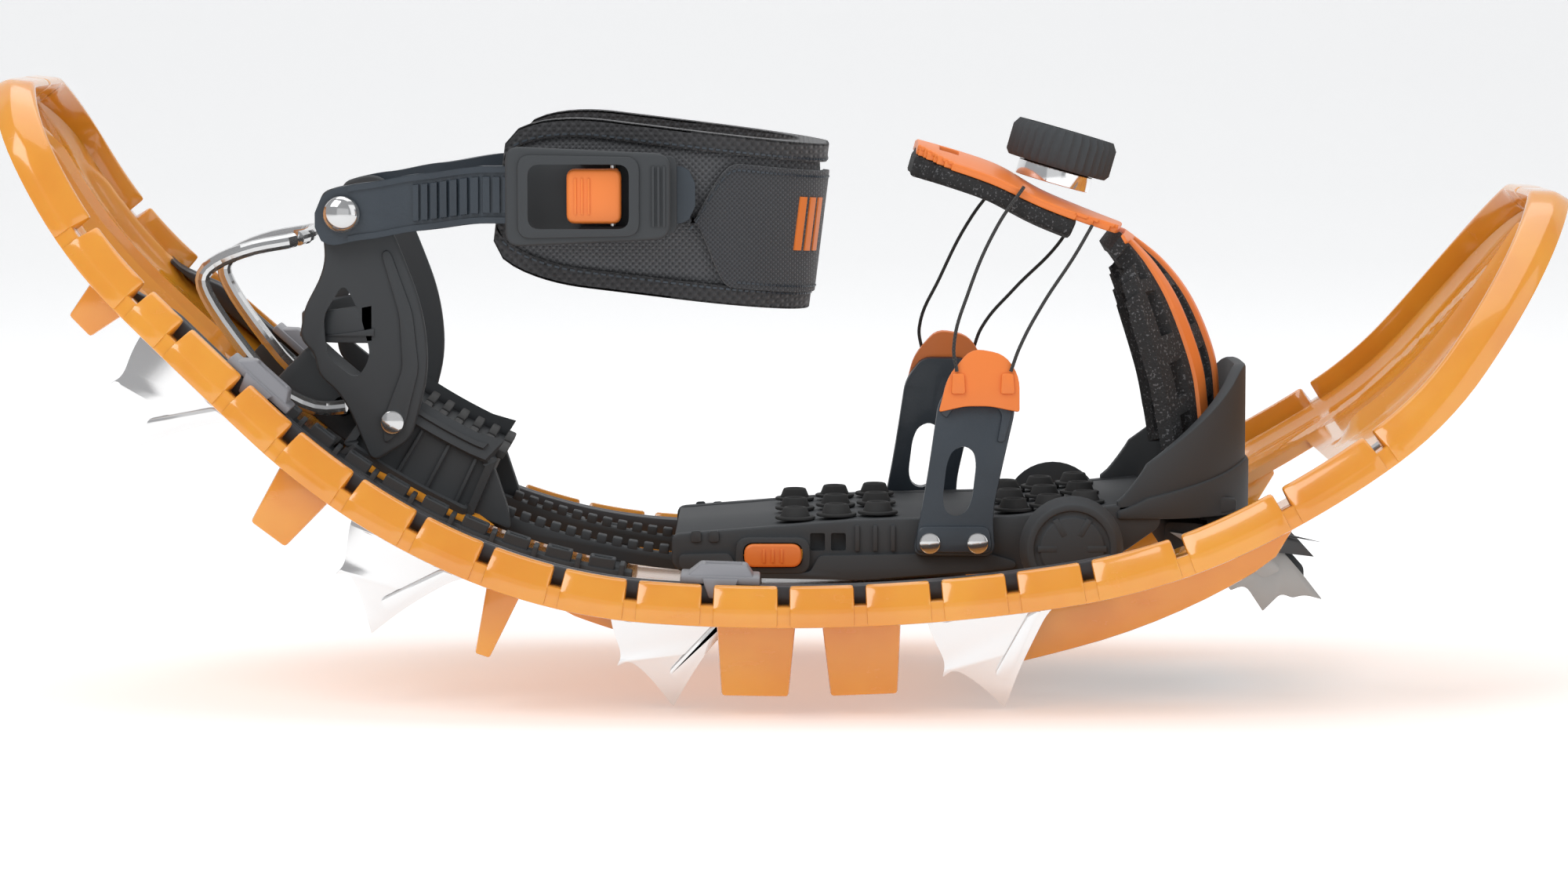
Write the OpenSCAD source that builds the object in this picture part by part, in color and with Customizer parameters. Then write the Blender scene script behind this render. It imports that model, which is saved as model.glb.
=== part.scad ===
// Left-foot flexible snowshoe with steel crampon blades, shown flexed.
// +X points to the nose, +Y to the far side and +Z up. The model stands on the middle blade tips.

/* [Deck] */
// Width over the lip
deck_w = 210; // [180:1:250]
// Width of the tail, as drawn before its corners are rounded
tail_w = 116; // [100:1:140]
// Arc length of the last stretch before the tail tip
tail_len = 40; // [30:1:60]
// Arc length of the last stretch before the nose tip
nose_len = 65; // [50:1:90]
// Height of the deck's lowest line above the ground
ride_h = 40; // [34:1:50]
// Thickness of the deck floor
skin = 3.5; // [2.5:0.5:5]
// Height of the lip blocks above the deck line
lip_h = 5; // [3:0.5:8]
// Gap between two lip blocks
lip_gap = 4; // [3:0.5:6]

/* [Steel] */
// Depth of the end blades below the deck line
blade_depth = 43; // [36:1:50]
// Thickness of the blade plate
blade_t = 2.5; // [2:0.5:4]
// Diameter of the heel-lift wire
wire_d = 5; // [4:0.5:6]
// Diameter of the binding's pivot pins
pivot_d = 9; // [7:0.5:11]

/* [Binding] */
// Width of the toe plate
plate_w = 90; // [80:1:96]
// Wall of the toe plate
plate_wall = 5; // [4:0.5:6]
// Width of the heel block
block_w = 75; // [66:1:82]
// Thickness of the heel cup
cup_t = 4; // [3:0.5:5]
// Half the spacing of the two rails
rail_y = 25; // [20:1:28]
// Width of the ladder strap
strap_w = 19; // [16:1:24]
// Height of the instep pad
pad_h = 56; // [46:1:68]
// Diameter of the dial
dial_d = 36.5; // [30:0.5:44]
// Diameter of the lace
lace_d = 1.2; // [1:0.1:2]

/* [Hidden] */

clear = 0.35;       // gap between bodies that move past each other
seat = 0.1;         // gap between pieces that are fixed to each other
floor_up = -6;      // deck floor, measured along the deck's normal from the deck line
lip_down = -8;      // underside of the lip
sole_up = 3;        // underside of the heel block above the deck line
block_h = 22;       // height of the heel block
rail_h = 8;         // height of a rail

// Arcs of the deck line from the tail tip to the nose tip: [length, turn in degrees]
flex = [[tail_len, 8], [45, 17], [60, 1], [80, 20], [60, 18], [75, 7], [60, 6], [60, 17], [50, 8],
        [40, 18], [nose_len, 8]];
tail_angle = -68;
deck_len = sum([for (f = flex) f[0]]);
pivot_s = tail_len + 384.5;

function sum(v, i = 0) = i == len(v) ? 0 : v[i] + sum(v, i + 1);
function rad(a) = a * PI / 180;
// Step along an arc that starts at angle a
function arc_step(a, length, turn) =
    length / rad(turn) * [sin(a + turn) - sin(a), cos(a) - cos(a + turn)];
// Knots of the deck line: [arc length, angle, point]
knots = [for (i = 0, s = 0, a = tail_angle, p = [0, 0]; i <= len(flex);
    p = p + arc_step(a, flex[min(i, len(flex) - 1)][0], flex[min(i, len(flex) - 1)][1]),
    a = a + flex[min(i, len(flex) - 1)][1],
    s = s + flex[min(i, len(flex) - 1)][0],
    i = i + 1) [s, a, p]];
function knot_of(s, i = 0) = i == len(flex) - 1 || s < knots[i + 1][0] ? i : knot_of(s, i + 1);
function turn_to(s, i) = flex[i][1] * (s - knots[i][0]) / flex[i][0];
function angle_at(s) = let (i = knot_of(s)) knots[i][1] + turn_to(s, i);
function raw_at(s) = let (i = knot_of(s), d = s - knots[i][0])
    knots[i][2] + (abs(d) < 0.001 ? [0, 0] : arc_step(knots[i][1], d, turn_to(s, i)));

low_z = min([for (s = [0 : 5 : deck_len]) raw_at(s).y]);
mid_x = (raw_at(0).x + raw_at(deck_len).x) / 2;
function line_at(s) = raw_at(s) - [mid_x, low_z - ride_h];
// Point at arc length s, across y, and up along the deck's normal
function place(s, y, up) = let (p = line_at(s), a = angle_at(s))
    [p.x - up * sin(a), y, p.y + up * cos(a)];

// Half width of the deck at arc length s
tail_run = 300;
nose_run = 190;
function tail_part(s) = s >= tail_run ? 1 :
    tail_w / deck_w + (1 - tail_w / deck_w) * sin(90 * s / tail_run);
function tail_round(s) = s >= 28 ? 1 : sqrt(1 - 0.7 * pow(1 - s / 28, 2));
function nose_part(d) = d >= nose_run ? 1 : sqrt(1 - 0.93 * pow(1 - d / nose_run, 2.6));
function half_w(s) = deck_w / 2 * tail_part(s) * tail_round(s) * nose_part(deck_len - s);

pivot = place(pivot_s, 0, 4.5);     // binding hinge, across the deck
heel_s0 = pivot_s - 288.5;          // rear end of the heel block
heel_s1 = pivot_s - 205.5;          // front end of the heel block
rail_s1 = pivot_s - 134.5;          // where the rails go under the toe plate

// Sole arc: the circle that the heel block and rails slide along
sole_r = (rail_s1 - heel_s0) / rad(angle_at(rail_s1) - angle_at(heel_s0));
sole_mid = (heel_s0 + rail_s1) / 2;
sole_c = place(sole_mid, 0, sole_r);
// Point on the sole arc at a tilt angle, up from the deck line
function sole_at(a, up) = [sole_c.x + (sole_r - up) * sin(a), sole_c.z - (sole_r - up) * cos(a)];
// Tilt on the sole arc that stands over arc length s of the deck
function sole_angle(s) = let (p = line_at(s)) atan2(p.x - sole_c.x, sole_c.z - p.y);
heel_a0 = sole_angle(heel_s0);
heel_a1 = sole_angle(heel_s1);
heel_h = sole_at(heel_a0 + 6, sole_up + 9);     // heel-lift pivot, in X and Z
rivet = heel_h + [2, 66];                       // instep strap rivets on the heel cup

// ---------- helpers ----------
module at(s, y = 0, up = 0) {
    p = place(s, y, up);
    translate(p) rotate([0, -angle_at(s), 0]) children();
}
// A side outline in X and Z, given thickness across Y from y0 to y1
module across(y0, y1) {
    translate([0, y1, 0]) rotate([90, 0, 0]) linear_extrude(y1 - y0) children();
}
module pin_y(p, y0, y1, d) {
    translate([p.x, y0, p.z]) rotate([-90, 0, 0]) cylinder(h = y1 - y0, d = d, $fn = 48);
}
module both_sides() {
    children();
    mirror([0, 1, 0]) children();
}
// End cap over n points from index k: one polygon, or a strip of triangles across a thin ring
function cap(k, n, strip) = !strip ? [[for (j = [0 : n - 1]) k + j]] :
    [for (j = [0 : n / 2 - 2]) each [[k + j, k + j + 1, k + n - 2 - j], [k + j, k + n - 2 - j, k + n - 1 - j]]];
function turned(faces) = [for (f = faces) [for (j = [len(f) - 1 : -1 : 0]) f[j]]];
// Skin over a list of closed rings with the same number of points
module loft(rings, strip = false) {
    n = len(rings[0]);
    m = len(rings);
    polyhedron([for (r = rings) each r], [
        each turned(cap(0, n, strip)),
        for (i = [0 : m - 2], j = [0 : n - 1])
            each [[i * n + j, (i + 1) * n + (j + 1) % n, (i + 1) * n + j],
                [i * n + j, i * n + (j + 1) % n, (i + 1) * n + (j + 1) % n]],
        each cap((m - 1) * n, n, strip)], convexity = 6);
}
// Outline along X from x0, whose two corners are round, to x1
module rounded_end(x0, x1, half, r) {
    back = x1 > x0 ? 1 : -1;
    translate([min(x0 + back * r, x1), -half]) square([abs(x1 - x0) - r, 2 * half]);
    translate([min(x0, x1), -half + r]) square([abs(x1 - x0), 2 * (half - r)]);
    for (side = [-1, 1]) translate([x0 + back * r, side * (half - r)]) circle(r = r, $fn = 72);
}
// Ring of a deck section: [y, up] points laid across the deck line at s
function ring(s, outline) = [for (q = outline) place(s, q[0], q[1])];
function box_ring(s, y0, y1, up0, up1) =
    ring(s, [[y0, up0], [y0, up1], [y1, up1], [y1, up0]]);
module deck_bar(s0, s1, y0, y1, up0, up1, step = 12) {
    n = ceil((s1 - s0) / step);
    loft([for (i = [0 : n]) box_ring(s0 + (s1 - s0) * i / n, y0, y1, up0, up1)]);
}
// Round tube through points, with n sides
function unit(v) = v / norm(v);
function tube_rings(pts, d, n) = [for (i = [0 : len(pts) - 1])
    let (t = unit(pts[min(i + 1, len(pts) - 1)] - pts[max(i - 1, 0)]),
         u = unit(cross(t, abs(t.y) > 0.8 ? [1, 0, 0] : [0, 1, 0])), v = cross(t, u))
    [for (k = [0 : n - 1]) pts[i] + d / 2 * (cos(360 * k / n) * u - sin(360 * k / n) * v)]];
module tube(pts, d, n = 8) {
    loft(tube_rings(pts, d, n));
}
// Smooth points between chosen points
function spline(p, steps) = [for (i = [0 : len(p) - 2], k = [0 : steps - 1])
    catmull(p[max(i - 1, 0)], p[i], p[i + 1], p[min(i + 2, len(p) - 1)], k / steps),
    p[len(p) - 1]];
function catmull(a, b, c, d, t) = 0.5 * (2 * b + (c - a) * t + (2 * a - 5 * b + 4 * c - d) * t * t
    + (3 * b - a - 3 * c + d) * t * t * t);

// ---------- deck ----------
lip_in = 9;
ledge_up = -1.5;                    // ledge of the rim, under the lip blocks
open_half = plate_w / 2 + 4;        // half width of the toe opening
open_x0 = pivot.x - 34;
open_x1 = pivot.x + 86;
function skin_outline(w) = let (e = min(24, 0.55 * w))
    [[-w, ledge_up], [-w + 7.5, ledge_up], [-w + lip_in, floor_up + 3.5],
     [-w + e, floor_up], [w - e, floor_up], [w - lip_in, floor_up + 3.5], [w - 7.5, ledge_up],
     [w, ledge_up], [w, lip_down], [w - 7.5, lip_down], [w - lip_in, lip_down],
     [w - e, floor_up - skin], [-w + e, floor_up - skin], [-w + lip_in, lip_down],
     [-w + 7.5, lip_down], [-w, lip_down]];
function block_outline(w) =
    [[w, ledge_up + seat], [w - 7.5, ledge_up + seat], [w - 8.2, lip_h - 2], [w - 6.5, lip_h],
     [w - 3, lip_h], [w, lip_h - 3]];
// Notches between the lip blocks, from the pivot along the deck line
lip_at = [-368.5, -339.5, -321.5, -295, -272, for (k = [0 : 10]) -245.8 + 24.78 * k, 33, 70.2, 106.2];
lip_count = len(lip_at) + 1;
function lip_from(k) = k == 0 ? 3 : pivot_s + lip_at[k - 1] + lip_gap / 2;
function lip_to(k) = k == lip_count - 1 ? deck_len - 3 : pivot_s + lip_at[k] - lip_gap / 2;
module lip_block(k) {
    s0 = lip_from(k);
    s1 = lip_to(k);
    n = max(2, round((s1 - s0) / 6));
    loft([for (i = [0 : n]) let (s = s0 + (s1 - s0) * i / n) ring(s, block_outline(half_w(s)))]);
}
module lip_right() color("orange") mirror([0, 1, 0]) for (k = [0 : lip_count - 1]) lip_block(k);
module lip_left() color("orange") for (k = [0 : lip_count - 1]) lip_block(k);
// Low walls that close the rim at the tail and the nose
module end_lips() color("orange") {
    deck_bar(0.6, 6, -0.4 * half_w(0), 0.4 * half_w(0), floor_up + seat, lip_h - 2);
    deck_bar(deck_len - 6, deck_len - 0.6, -0.4 * half_w(deck_len), 0.4 * half_w(deck_len),
        floor_up + seat, lip_h - 2);
}
under = floor_up - skin - seat;     // where lugs and keels meet the underside
module lug(s, y, depth, top_l, foot_l, width) {
    at(s, y) hull() {
        translate([0, 0, under - 0.5]) cube([top_l, width, 1], center = true);
        translate([0, 0, -depth + 0.5]) cube([foot_l, width * 0.7, 1], center = true);
    }
}
keel_y = open_half + 4;
module keel(s0, s1, depth0, depth1) {
    n = ceil((s1 - s0) / 8);
    loft([for (i = [0 : n]) let (s = s0 + (s1 - s0) * i / n, d = depth0 + (depth1 - depth0) * i / n)
        box_ring(s, keel_y - 2.4, keel_y + 2.4, -d, under)]);
}
// The skin in four lengths, each from one station to the next
deck_cut = [0, tail_len + 130, pivot_s - 84, pivot_s + 97, deck_len];
module skin_length(k) {
    s0 = deck_cut[k] + (k > 0 ? seat / 2 : 0);
    s1 = deck_cut[k + 1] - (k < 3 ? seat / 2 : 0);
    n = round((s1 - s0) / 11);
    loft([for (i = [0 : n]) let (s = s0 + (s1 - s0) * i / n) ring(s, skin_outline(half_w(s)))],
        strip = true);
}
module deck_tail() color("orange") {
    skin_length(0);
    for (y = [-14, 14]) deck_bar(10, tail_len + 62, y - 2.5, y + 2.5, floor_up - 0.5, floor_up + 4);
}
module deck_heel() color("orange") skin_length(1);
module deck_toe() color("orange") difference() {
    skin_length(2);
    translate([open_x0, -open_half, 0]) cube([open_x1 - open_x0, 2 * open_half, 200]);
    both_sides() pin_y(pivot, -hub_y - hub_t - clear, -hub_y + clear, hub_d + 2 * clear);
}
module deck_nose() color("orange") {
    skin_length(3);
    deck_bar(pivot_s + 112, deck_len - 8, -5, 5, floor_up - 0.5, floor_up + 4);
}
module deck_lugs() color("orange") both_sides() {
    lug(tail_len + 38, 48, 24, 16, 10, 10);
    lug(pivot_s - 258, 76, 30, 20, 14, 14);
    lug(pivot_s - 187, 78, 33, 12, 5, 8);
    lug(pivot_s - 106, 76, 34, 26, 22, 20);
    lug(pivot_s - 72, 76, 34, 26, 22, 20);
    keel(pivot_s - 175, pivot_s - 120, 14, 24);
    keel(pivot_s - 45, pivot_s + 78, 34, 20);
}
// Upright walls on the deck that carry the pivot pins
module pivot_walls() color("orange") difference() {
    both_sides() at(pivot_s, keel_y) translate([-14, -2.4, floor_up + 0.9]) cube([28, 4.8, 16.4]);
    pin_y(pivot, -deck_w, deck_w, pivot_d + 2 * seat);
}
rod_s0 = tail_len + 35;
rod_s1 = pivot_s + 25;
rod_up = floor_up + 3.9;
module rod_right() color("dimgray") loft([for (i = [0 : 40]) let (s = rod_s0 + (rod_s1 - rod_s0) * i / 40,
    y = half_w(s) - 13.5)
    ring(s, [[-y - 4, rod_up], [-y - 4, rod_up + 4.5], [-y - 3, rod_up + 6], [-y - 1, rod_up + 6],
        [-y, rod_up + 4.5], [-y + 1, rod_up + 6], [-y + 3, rod_up + 6], [-y + 4, rod_up + 4.5],
        [-y + 4, rod_up]])]);
module rod_left() mirror([0, 1, 0]) rod_right();

frame_s0 = pivot_s - 302;
frame_s1 = pivot_s - 148;
frame_y = 47;
module tail_subframe() color("dimgray") {
    both_sides() {
        deck_bar(frame_s0, frame_s1, frame_y - 4, frame_y + 6, floor_up + seat, floor_up + 7);
        for (k = [0 : 9])
            deck_bar(frame_s0 + 4 + 15 * k, frame_s0 + 12 + 15 * k, frame_y - 3, frame_y + 5,
                floor_up + 6.5, floor_up + 10.5, 8);
    }
    for (s = [frame_s0 + 37, frame_s1 - 11])
        deck_bar(s, s + 8, -frame_y + 4 + seat, frame_y - 4 - seat, floor_up + seat, floor_up + 3);
}
module heel_rest() color("darkorange") difference() {
    deck_bar(heel_s0 + 34, heel_s1 + 6, -36, 36, floor_up + seat, sole_up - 2.2);
    at((heel_s0 + heel_s1) / 2 + 20) translate([-14, -18, floor_up - 2]) cube([28, 36, 20]);
}
module clip(s, y) color("gray") at(s, y, rod_up + 6 + seat + 0.2) difference() {
    hull() {
        translate([-12, -9, 0]) cube([24, 18, 2]);
        translate([-9, -6, 2]) cube([18, 12, 2.5]);
    }
    translate([-4, -3.5, -1]) cube([8, 7, 8]);
}
clip_s = [pivot_s - 290, pivot_s - 118];
module rear_clips() both_sides() clip(clip_s[0], half_w(clip_s[0]) - 18.5);
module front_clips() both_sides() clip(clip_s[1], half_w(clip_s[1]) - 18.5);

// ---------- blades ----------
blade_s = [pivot_s - 307, pivot_s - 217.5, pivot_s - 130.5, pivot_s - 27.5];
blade_y = [52, 62, 64, 66];
tip_x = -1;
// Depth that brings a blade tip down to the ground
function ground_depth(s) = let (a = angle_at(s)) (line_at(s).y + tip_x * sin(a)) / cos(a);
function depth_of(i) = i < 2 ? blade_depth : ground_depth(blade_s[i]);
flange_up = floor_up - skin - seat;
module blade(i) color("silver") at(blade_s[i], -blade_y[i]) {
    d = depth_of(i);
    across(-blade_t / 2, blade_t / 2) polygon([[-24, flange_up], [-22, -0.4 * d], [-18, -0.6 * d],
        [-19, -d + 12], [-14, -d + 13], [-7, -d + 8], [tip_x, -d], [5, -d + 13], [12, -d + 24],
        [17, min(-d + 32, flange_up - 4)], [24, flange_up]]);
    translate([-24, 0, flange_up - blade_t]) cube([38, 8, blade_t]);
}
module blade_pair_1() both_sides() blade(0);
module blade_pair_2() both_sides() blade(1);
module blade_pair_3() both_sides() blade(2);
module blade_pair_4() both_sides() blade(3);
module blade_screws() color("silver") both_sides() for (i = [0 : 3], x = [-17, 8])
    at(blade_s[i], -blade_y[i] + 4.7) translate([x, 0, flange_up - blade_t - seat - 2])
        cylinder(h = 2, d = 5, $fn = 24);
module nose_panel() color("gray") loft([for (i = [0 : 8]) let (s = pivot_s + 104 + 8 * i,
    w = 3 + 17 * sin(180 * (i + 0.6) / 9.2), y = -half_w(s) + 38)
    box_ring(s, y - w / 2, y + w / 2, floor_up + seat + 0.2, floor_up + 1.4)]);
module pivot_pins() color("silver") both_sides()
    pin_y(pivot, -keel_y - 5, -plate_w / 2 + plate_wall, pivot_d);
hub_d = 35;                         // black cap over the end of each pivot pin
hub_y = keel_y + 3;
hub_t = 6;
module hub_caps() color("dimgray") both_sides() difference() {
    pin_y(pivot, -hub_y - hub_t, -hub_y, hub_d);
    pin_y(pivot, -keel_y - 5 - seat, 0, pivot_d + 2 * seat);
}

// ---------- binding ----------
half_p = plate_w / 2;
plate_top = [[-133.5, 3], [-70, 8], [-20, 9], [29.5, 14.3]];       // top line, from the pivot
plate_low = [[31, 6], [14, -6], [-14, -9.5], [-70, -12.5], [-126, -11.5], [-133.5, -8]];
function from_pivot(v) = [for (q = v) [pivot.x, pivot.z] + q];
function top_z(x) = pivot.z + (x < -70 ? 8 + 5 * (x + 70) / 63.5 : x < -20 ? 8 + (x + 70) / 50 :
    9 + 5.3 * (x + 20) / 49.5);
module toe_plate() color("dimgray") difference() {
    across(-half_p, half_p) polygon(from_pivot(concat(plate_top, plate_low)));
    // Hollow below the top, between the side walls
    across(-half_p + plate_wall, half_p - plate_wall)
        polygon(from_pivot([[-140, -2], [-70, 3.5], [-20, 4.5], [8, 7], [8, -30], [-140, -30]]));
    // Side windows and the button's slot
    for (x = [-87, -80]) translate([pivot.x + x, -half_p - 1, pivot.z - 2.5]) cube([5, plate_wall + 2, 6]);
    translate([pivot.x + button_x, -half_p - 1, pivot.z + button_z])
        cube([button_l, plate_wall + 2, button_h]);
    pin_y(pivot, -half_p - 1, half_p + 1, pivot_d + 0.1);
}
button_x = -109.5;
button_z = -8;
button_l = 20;
button_h = 8.5;
module size_button() color("darkorange")
    translate([pivot.x + button_x + clear, -half_p - 4, pivot.z + button_z + clear])
        cube([button_l - 2 * clear, plate_wall + 4 - 0.5, button_h - 2 * clear]);
module traction_pads() color("dimgray") for (x = [-92, -78, -64, -18, -6, 6], y = [-30, 0, 30])
    translate([pivot.x + x, y, top_z(x) + 0.7]) cylinder(h = 4, d1 = 11, d2 = 7, $fn = 24);
cup_x = 62;             // front of the toe cup, from the pivot
cup_wall = 4.5;
module toe_cup() color("dimgray") {
    intersection() {
        translate([pivot.x, 0, pivot.z]) linear_extrude(70) difference() {
            rounded_end(cup_x, 10, half_p, 36);
            rounded_end(cup_x - cup_wall, 0, half_p - cup_wall, 36 - cup_wall);
        }
        across(-100, 100) polygon(from_pivot([[16, 13.6], [29.5, 15.2], [32, 14.2], [32, 8],
            [cup_x + 2, 8], [cup_x + 2, 58], [cup_x - 5, 58], [54, 46], [44, 33], [30, 22]]));
    }
    // Floor that carries the cup on the toe plate
    across(-half_p + 8, half_p - 8) polygon(from_pivot([[31.3, 8], [31.3, 13], [cup_x - 6, 15],
        [cup_x - 6, 10]]));
}
wing_y = half_p + 1.5;
module wing(x) color("slategray") translate([pivot.x + x, -wing_y, pivot.z]) rotate([-7, 0, 0])
    across(-3.5, 0) difference() {
        polygon([[-14, -4], [14, -4], [13, 16], [21, 46], [12, 56], [1, 56], [-5, 48], [-9, 20]]);
        translate([2, 22]) rotate(-6) scale([1, 1]) hull() {
            translate([0, -8]) circle(r = 5, $fn = 32);
            translate([0, 10]) circle(r = 5, $fn = 32);
        }
    }
wing_x = [-39, -48];    // near and far wing, from the pivot
module wing_right() wing(wing_x[0]);
module wing_left() mirror([0, 1, 0]) wing(wing_x[1]);
module wing_cap(x) color("darkorange") translate([pivot.x + x, -wing_y, pivot.z]) rotate([-7, 0, 0])
    across(-6.5, -3.6) polygon([[-5, 44], [-2, 56], [6, 66], [17, 64], [22, 56], [22, 44]]);
module wing_cap_right() wing_cap(wing_x[0]);
module wing_cap_left() mirror([0, 1, 0]) wing_cap(wing_x[1]);
module wing_rivets() color("silver") for (side = [0, 1], x = [-8, 8]) mirror([0, side, 0])
    translate([pivot.x + wing_x[side] + x, -wing_y - 6, pivot.z]) rotate([-90, 0, 0])
        cylinder(h = 2, d = 7, $fn = 24);
module claw_carrier() color("dimgray") across(-34, 34)
    polygon(from_pivot([[32, -4], [33, 6], [45, 5.5], [72, -2.5], [80, -9], [80, -14], [74, -10],
        [64, -9]]));
module front_claw() color("silver") both_sides() across(-34.1 - blade_t, -34.1)
    polygon(from_pivot([[34, 3], [72, -3], [79, -11], [86, -20], [80, -18.5], [76, -19.5], [72, -18],
        [66, -24], [60, -15], [55, -17], [50, -7]]));

// ---------- heel carriage ----------
half_b = block_w / 2;
tongue_half = 27;       // half width of the block's narrow rear end
wide_a = heel_a0 + 8;   // where the block widens
function sole_band(a0, a1, up0, up1) = concat([for (i = [0 : 8]) sole_at(a0 + (a1 - a0) * i / 8, up0)],
    [for (i = [8 : -1 : 0]) sole_at(a0 + (a1 - a0) * i / 8, up1)]);
module heel_block() color("dimgray") difference() {
    union() {
        across(-half_b, half_b) polygon(sole_band(wide_a, heel_a1, sole_up, sole_up + block_h));
        across(-tongue_half, tongue_half)
            polygon(sole_band(heel_a0, wide_a + 1, sole_up, sole_up + 16));
    }
    pin_y([heel_h.x, 0, heel_h.y], -100, 100, bail_pin_d + 0.1);
    across(-half_b + 6, half_b - 6) polygon(sole_band(wide_a + 2, heel_a1 - 2, sole_up + 4, sole_up + 18));
}
module heel_tread() color("dimgray") for (k = [0 : 7]) across(-half_b + 3, half_b - 3)
    polygon(sole_band(wide_a + 0.5 + 1.7 * k, wide_a + 1.3 + 1.7 * k, sole_up + block_h + seat,
        sole_up + block_h + 2.5));
module rail(y) color("dimgray") difference() {
    across(y - 3, y + 3) polygon(sole_band(heel_a1 + 0.05, angle_at(rail_s1) + 10, sole_up - 1,
        sole_up - 1 + rail_h));
    for (k = [0 : 11]) translate([sole_c.x, y, sole_c.z]) rotate([0, -(heel_a1 + 3 + 1.4 * k), 0])
        translate([-1, -10, -(sole_r - sole_up - rail_h + 3)]) cube([2, 20, 10]);
}
module rail_right() rail(-rail_y);
module rail_left() rail(rail_y);
module heel_cup() color("dimgray") difference() {
    intersection() {
        translate([heel_h.x, 0, heel_h.y - 30]) linear_extrude(120) difference() {
            rounded_end(-14, 40, half_b + cup_t + seat, 20);
            rounded_end(-14 + cup_t, 50, half_b + seat, 20 - cup_t);
        }
        across(-100, 100) polygon([for (q = [[11, -18], [24, -10], [26, -2], [30, 14], [27, 34], [20, 52],
            [13, 72], [6, 76], [-6, 72], [-3, 52], [-12, 33], [-16, 32],
            [-16, 24], [-8, 21], [-7, 12], [2, 4]])
            heel_h + q]);
    }
    across(-100, 100) polygon([for (q = [[-5, 16], [7, 8], [10, 17], [6, 31], [2, 44], [-4, 33]])
        heel_h + q]);
    pin_y([rivet.x, 0, rivet.y], -100, 100, 6.1);
}
module cup_rivets() color("silver") both_sides() translate([heel_h.x + 18, -half_b - cup_t - 2 * seat - 2,
    heel_h.y - 4]) rotate([-90, 0, 0]) cylinder(h = 2, d = 8, $fn = 24);
bail_y = tongue_half + 5;
bail_pin_d = wire_d - 0.4;      // turned-down ends of the wire that sit in the heel block
// Half of the wire's route, from the pivot to the middle of the crossbar: [x, half width, z]
bail_half = [[1.5, bail_y, 0.2], [-9, bail_y, 0], [-22, bail_y, 7], [-36, bail_y, 24],
    [-45, bail_y, 38], [-46, bail_y, 45], [-40, bail_y, 50], [-29, bail_y, 54], [-18, bail_y - 2, 56],
    [-13.5, bail_y - 7, 57], [-12.5, bail_y - 14, 57], [-12.5, 0, 57]];
module lift_bail() color("silver") {
    half = [for (q = bail_half) [heel_h.x + q[0], -q[1], heel_h.y + q[2]]];
    back = [for (i = [len(half) - 2 : -1 : 0]) [half[i].x, -half[i].y, half[i].z]];
    tube(spline(concat(half, back), 3), wire_d, 12);
    both_sides() pin_y([heel_h.x, 0, heel_h.y], -bail_y, -tongue_half + 8, bail_pin_d);
}

// ---------- instep strap ----------
loop_z = rivet.y + 7;       // height of the instep loop
pad_t = 11;
pad_out = half_b + cup_t + 14;      // half width outside the pad
pad_x0 = rivet.x + 53;
pad_x1 = rivet.x + 160;
strap_y = pad_out + 3;
strap_t = 3;
// Flat strap through plan points [x, y, z], with its width upright
module flat_strap(pts, width, t) {
    loft([for (i = [0 : len(pts) - 1]) let (d = unit(pts[min(i + 1, len(pts) - 1)] - pts[max(i - 1, 0)]),
        n = unit([-d.y, d.x, 0]) * t / 2, h = [0, 0, width / 2])
        [pts[i] - n - h, pts[i] - n + h, pts[i] + n + h, pts[i] + n - h]]);
}
module ladder_strap() color("slategray") difference() {
    flat_strap(spline([for (q = [[-9, half_b + cup_t + 4, -2], [8, half_b + cup_t + 4, 1],
        [26, half_b + cup_t + 6, 4], [48, strap_y - 1, 7], [60, strap_y, 7], [118, strap_y, 7]])
        [rivet.x + q[0], -q[1], rivet.y + q[2]]], 4), strap_w, strap_t);
    pin_y([rivet.x, 0, rivet.y], -100, 0, 6.1);
}
module far_strap() color("slategray") difference() {
    flat_strap(spline([for (q = [[-9, half_b + cup_t + 4, -2], [8, half_b + cup_t + 4, 1],
        [26, half_b + cup_t + 6, 4], [48, strap_y - 1, 7], [60, strap_y, 7], [92, strap_y, 7]])
        [rivet.x + q[0], q[1], rivet.y + q[2]]], 4), strap_w, strap_t);
    pin_y([rivet.x, 0, rivet.y], 0, 100, 6.1);
}
pad_tilt = 7;               // the pad dips towards the toe
module instep_pad() color("dimgray") translate([buckle_x0, 0, loop_z]) rotate([0, pad_tilt, 0])
    translate([-buckle_x0, 0, -pad_h / 2]) linear_extrude(pad_h) difference() {
        rounded_end(pad_x1, pad_x0, pad_out, 44);
        rounded_end(pad_x1 - pad_t, pad_x0 - 1, pad_out - pad_t, 44 - pad_t);
    }
base_y = strap_y + strap_t / 2 + seat;
buckle_x0 = rivet.x + 58;
buckle_x1 = rivet.x + 112;
lever_pin_x = buckle_x1 - 6;
lever_pin_y = base_y + 6;           // lever hinge, outside the strap
tab_pin_x = buckle_x0 + 33;
tab_pin_y = base_y + 5.2;           // release tab hinge
lever_y = base_y + 9.5;             // inner face of the lever
module upright_pin(x, y, half, d) {
    translate([x, -y, loop_z - half]) cylinder(h = 2 * half, d = d, $fn = 32);
}
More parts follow.
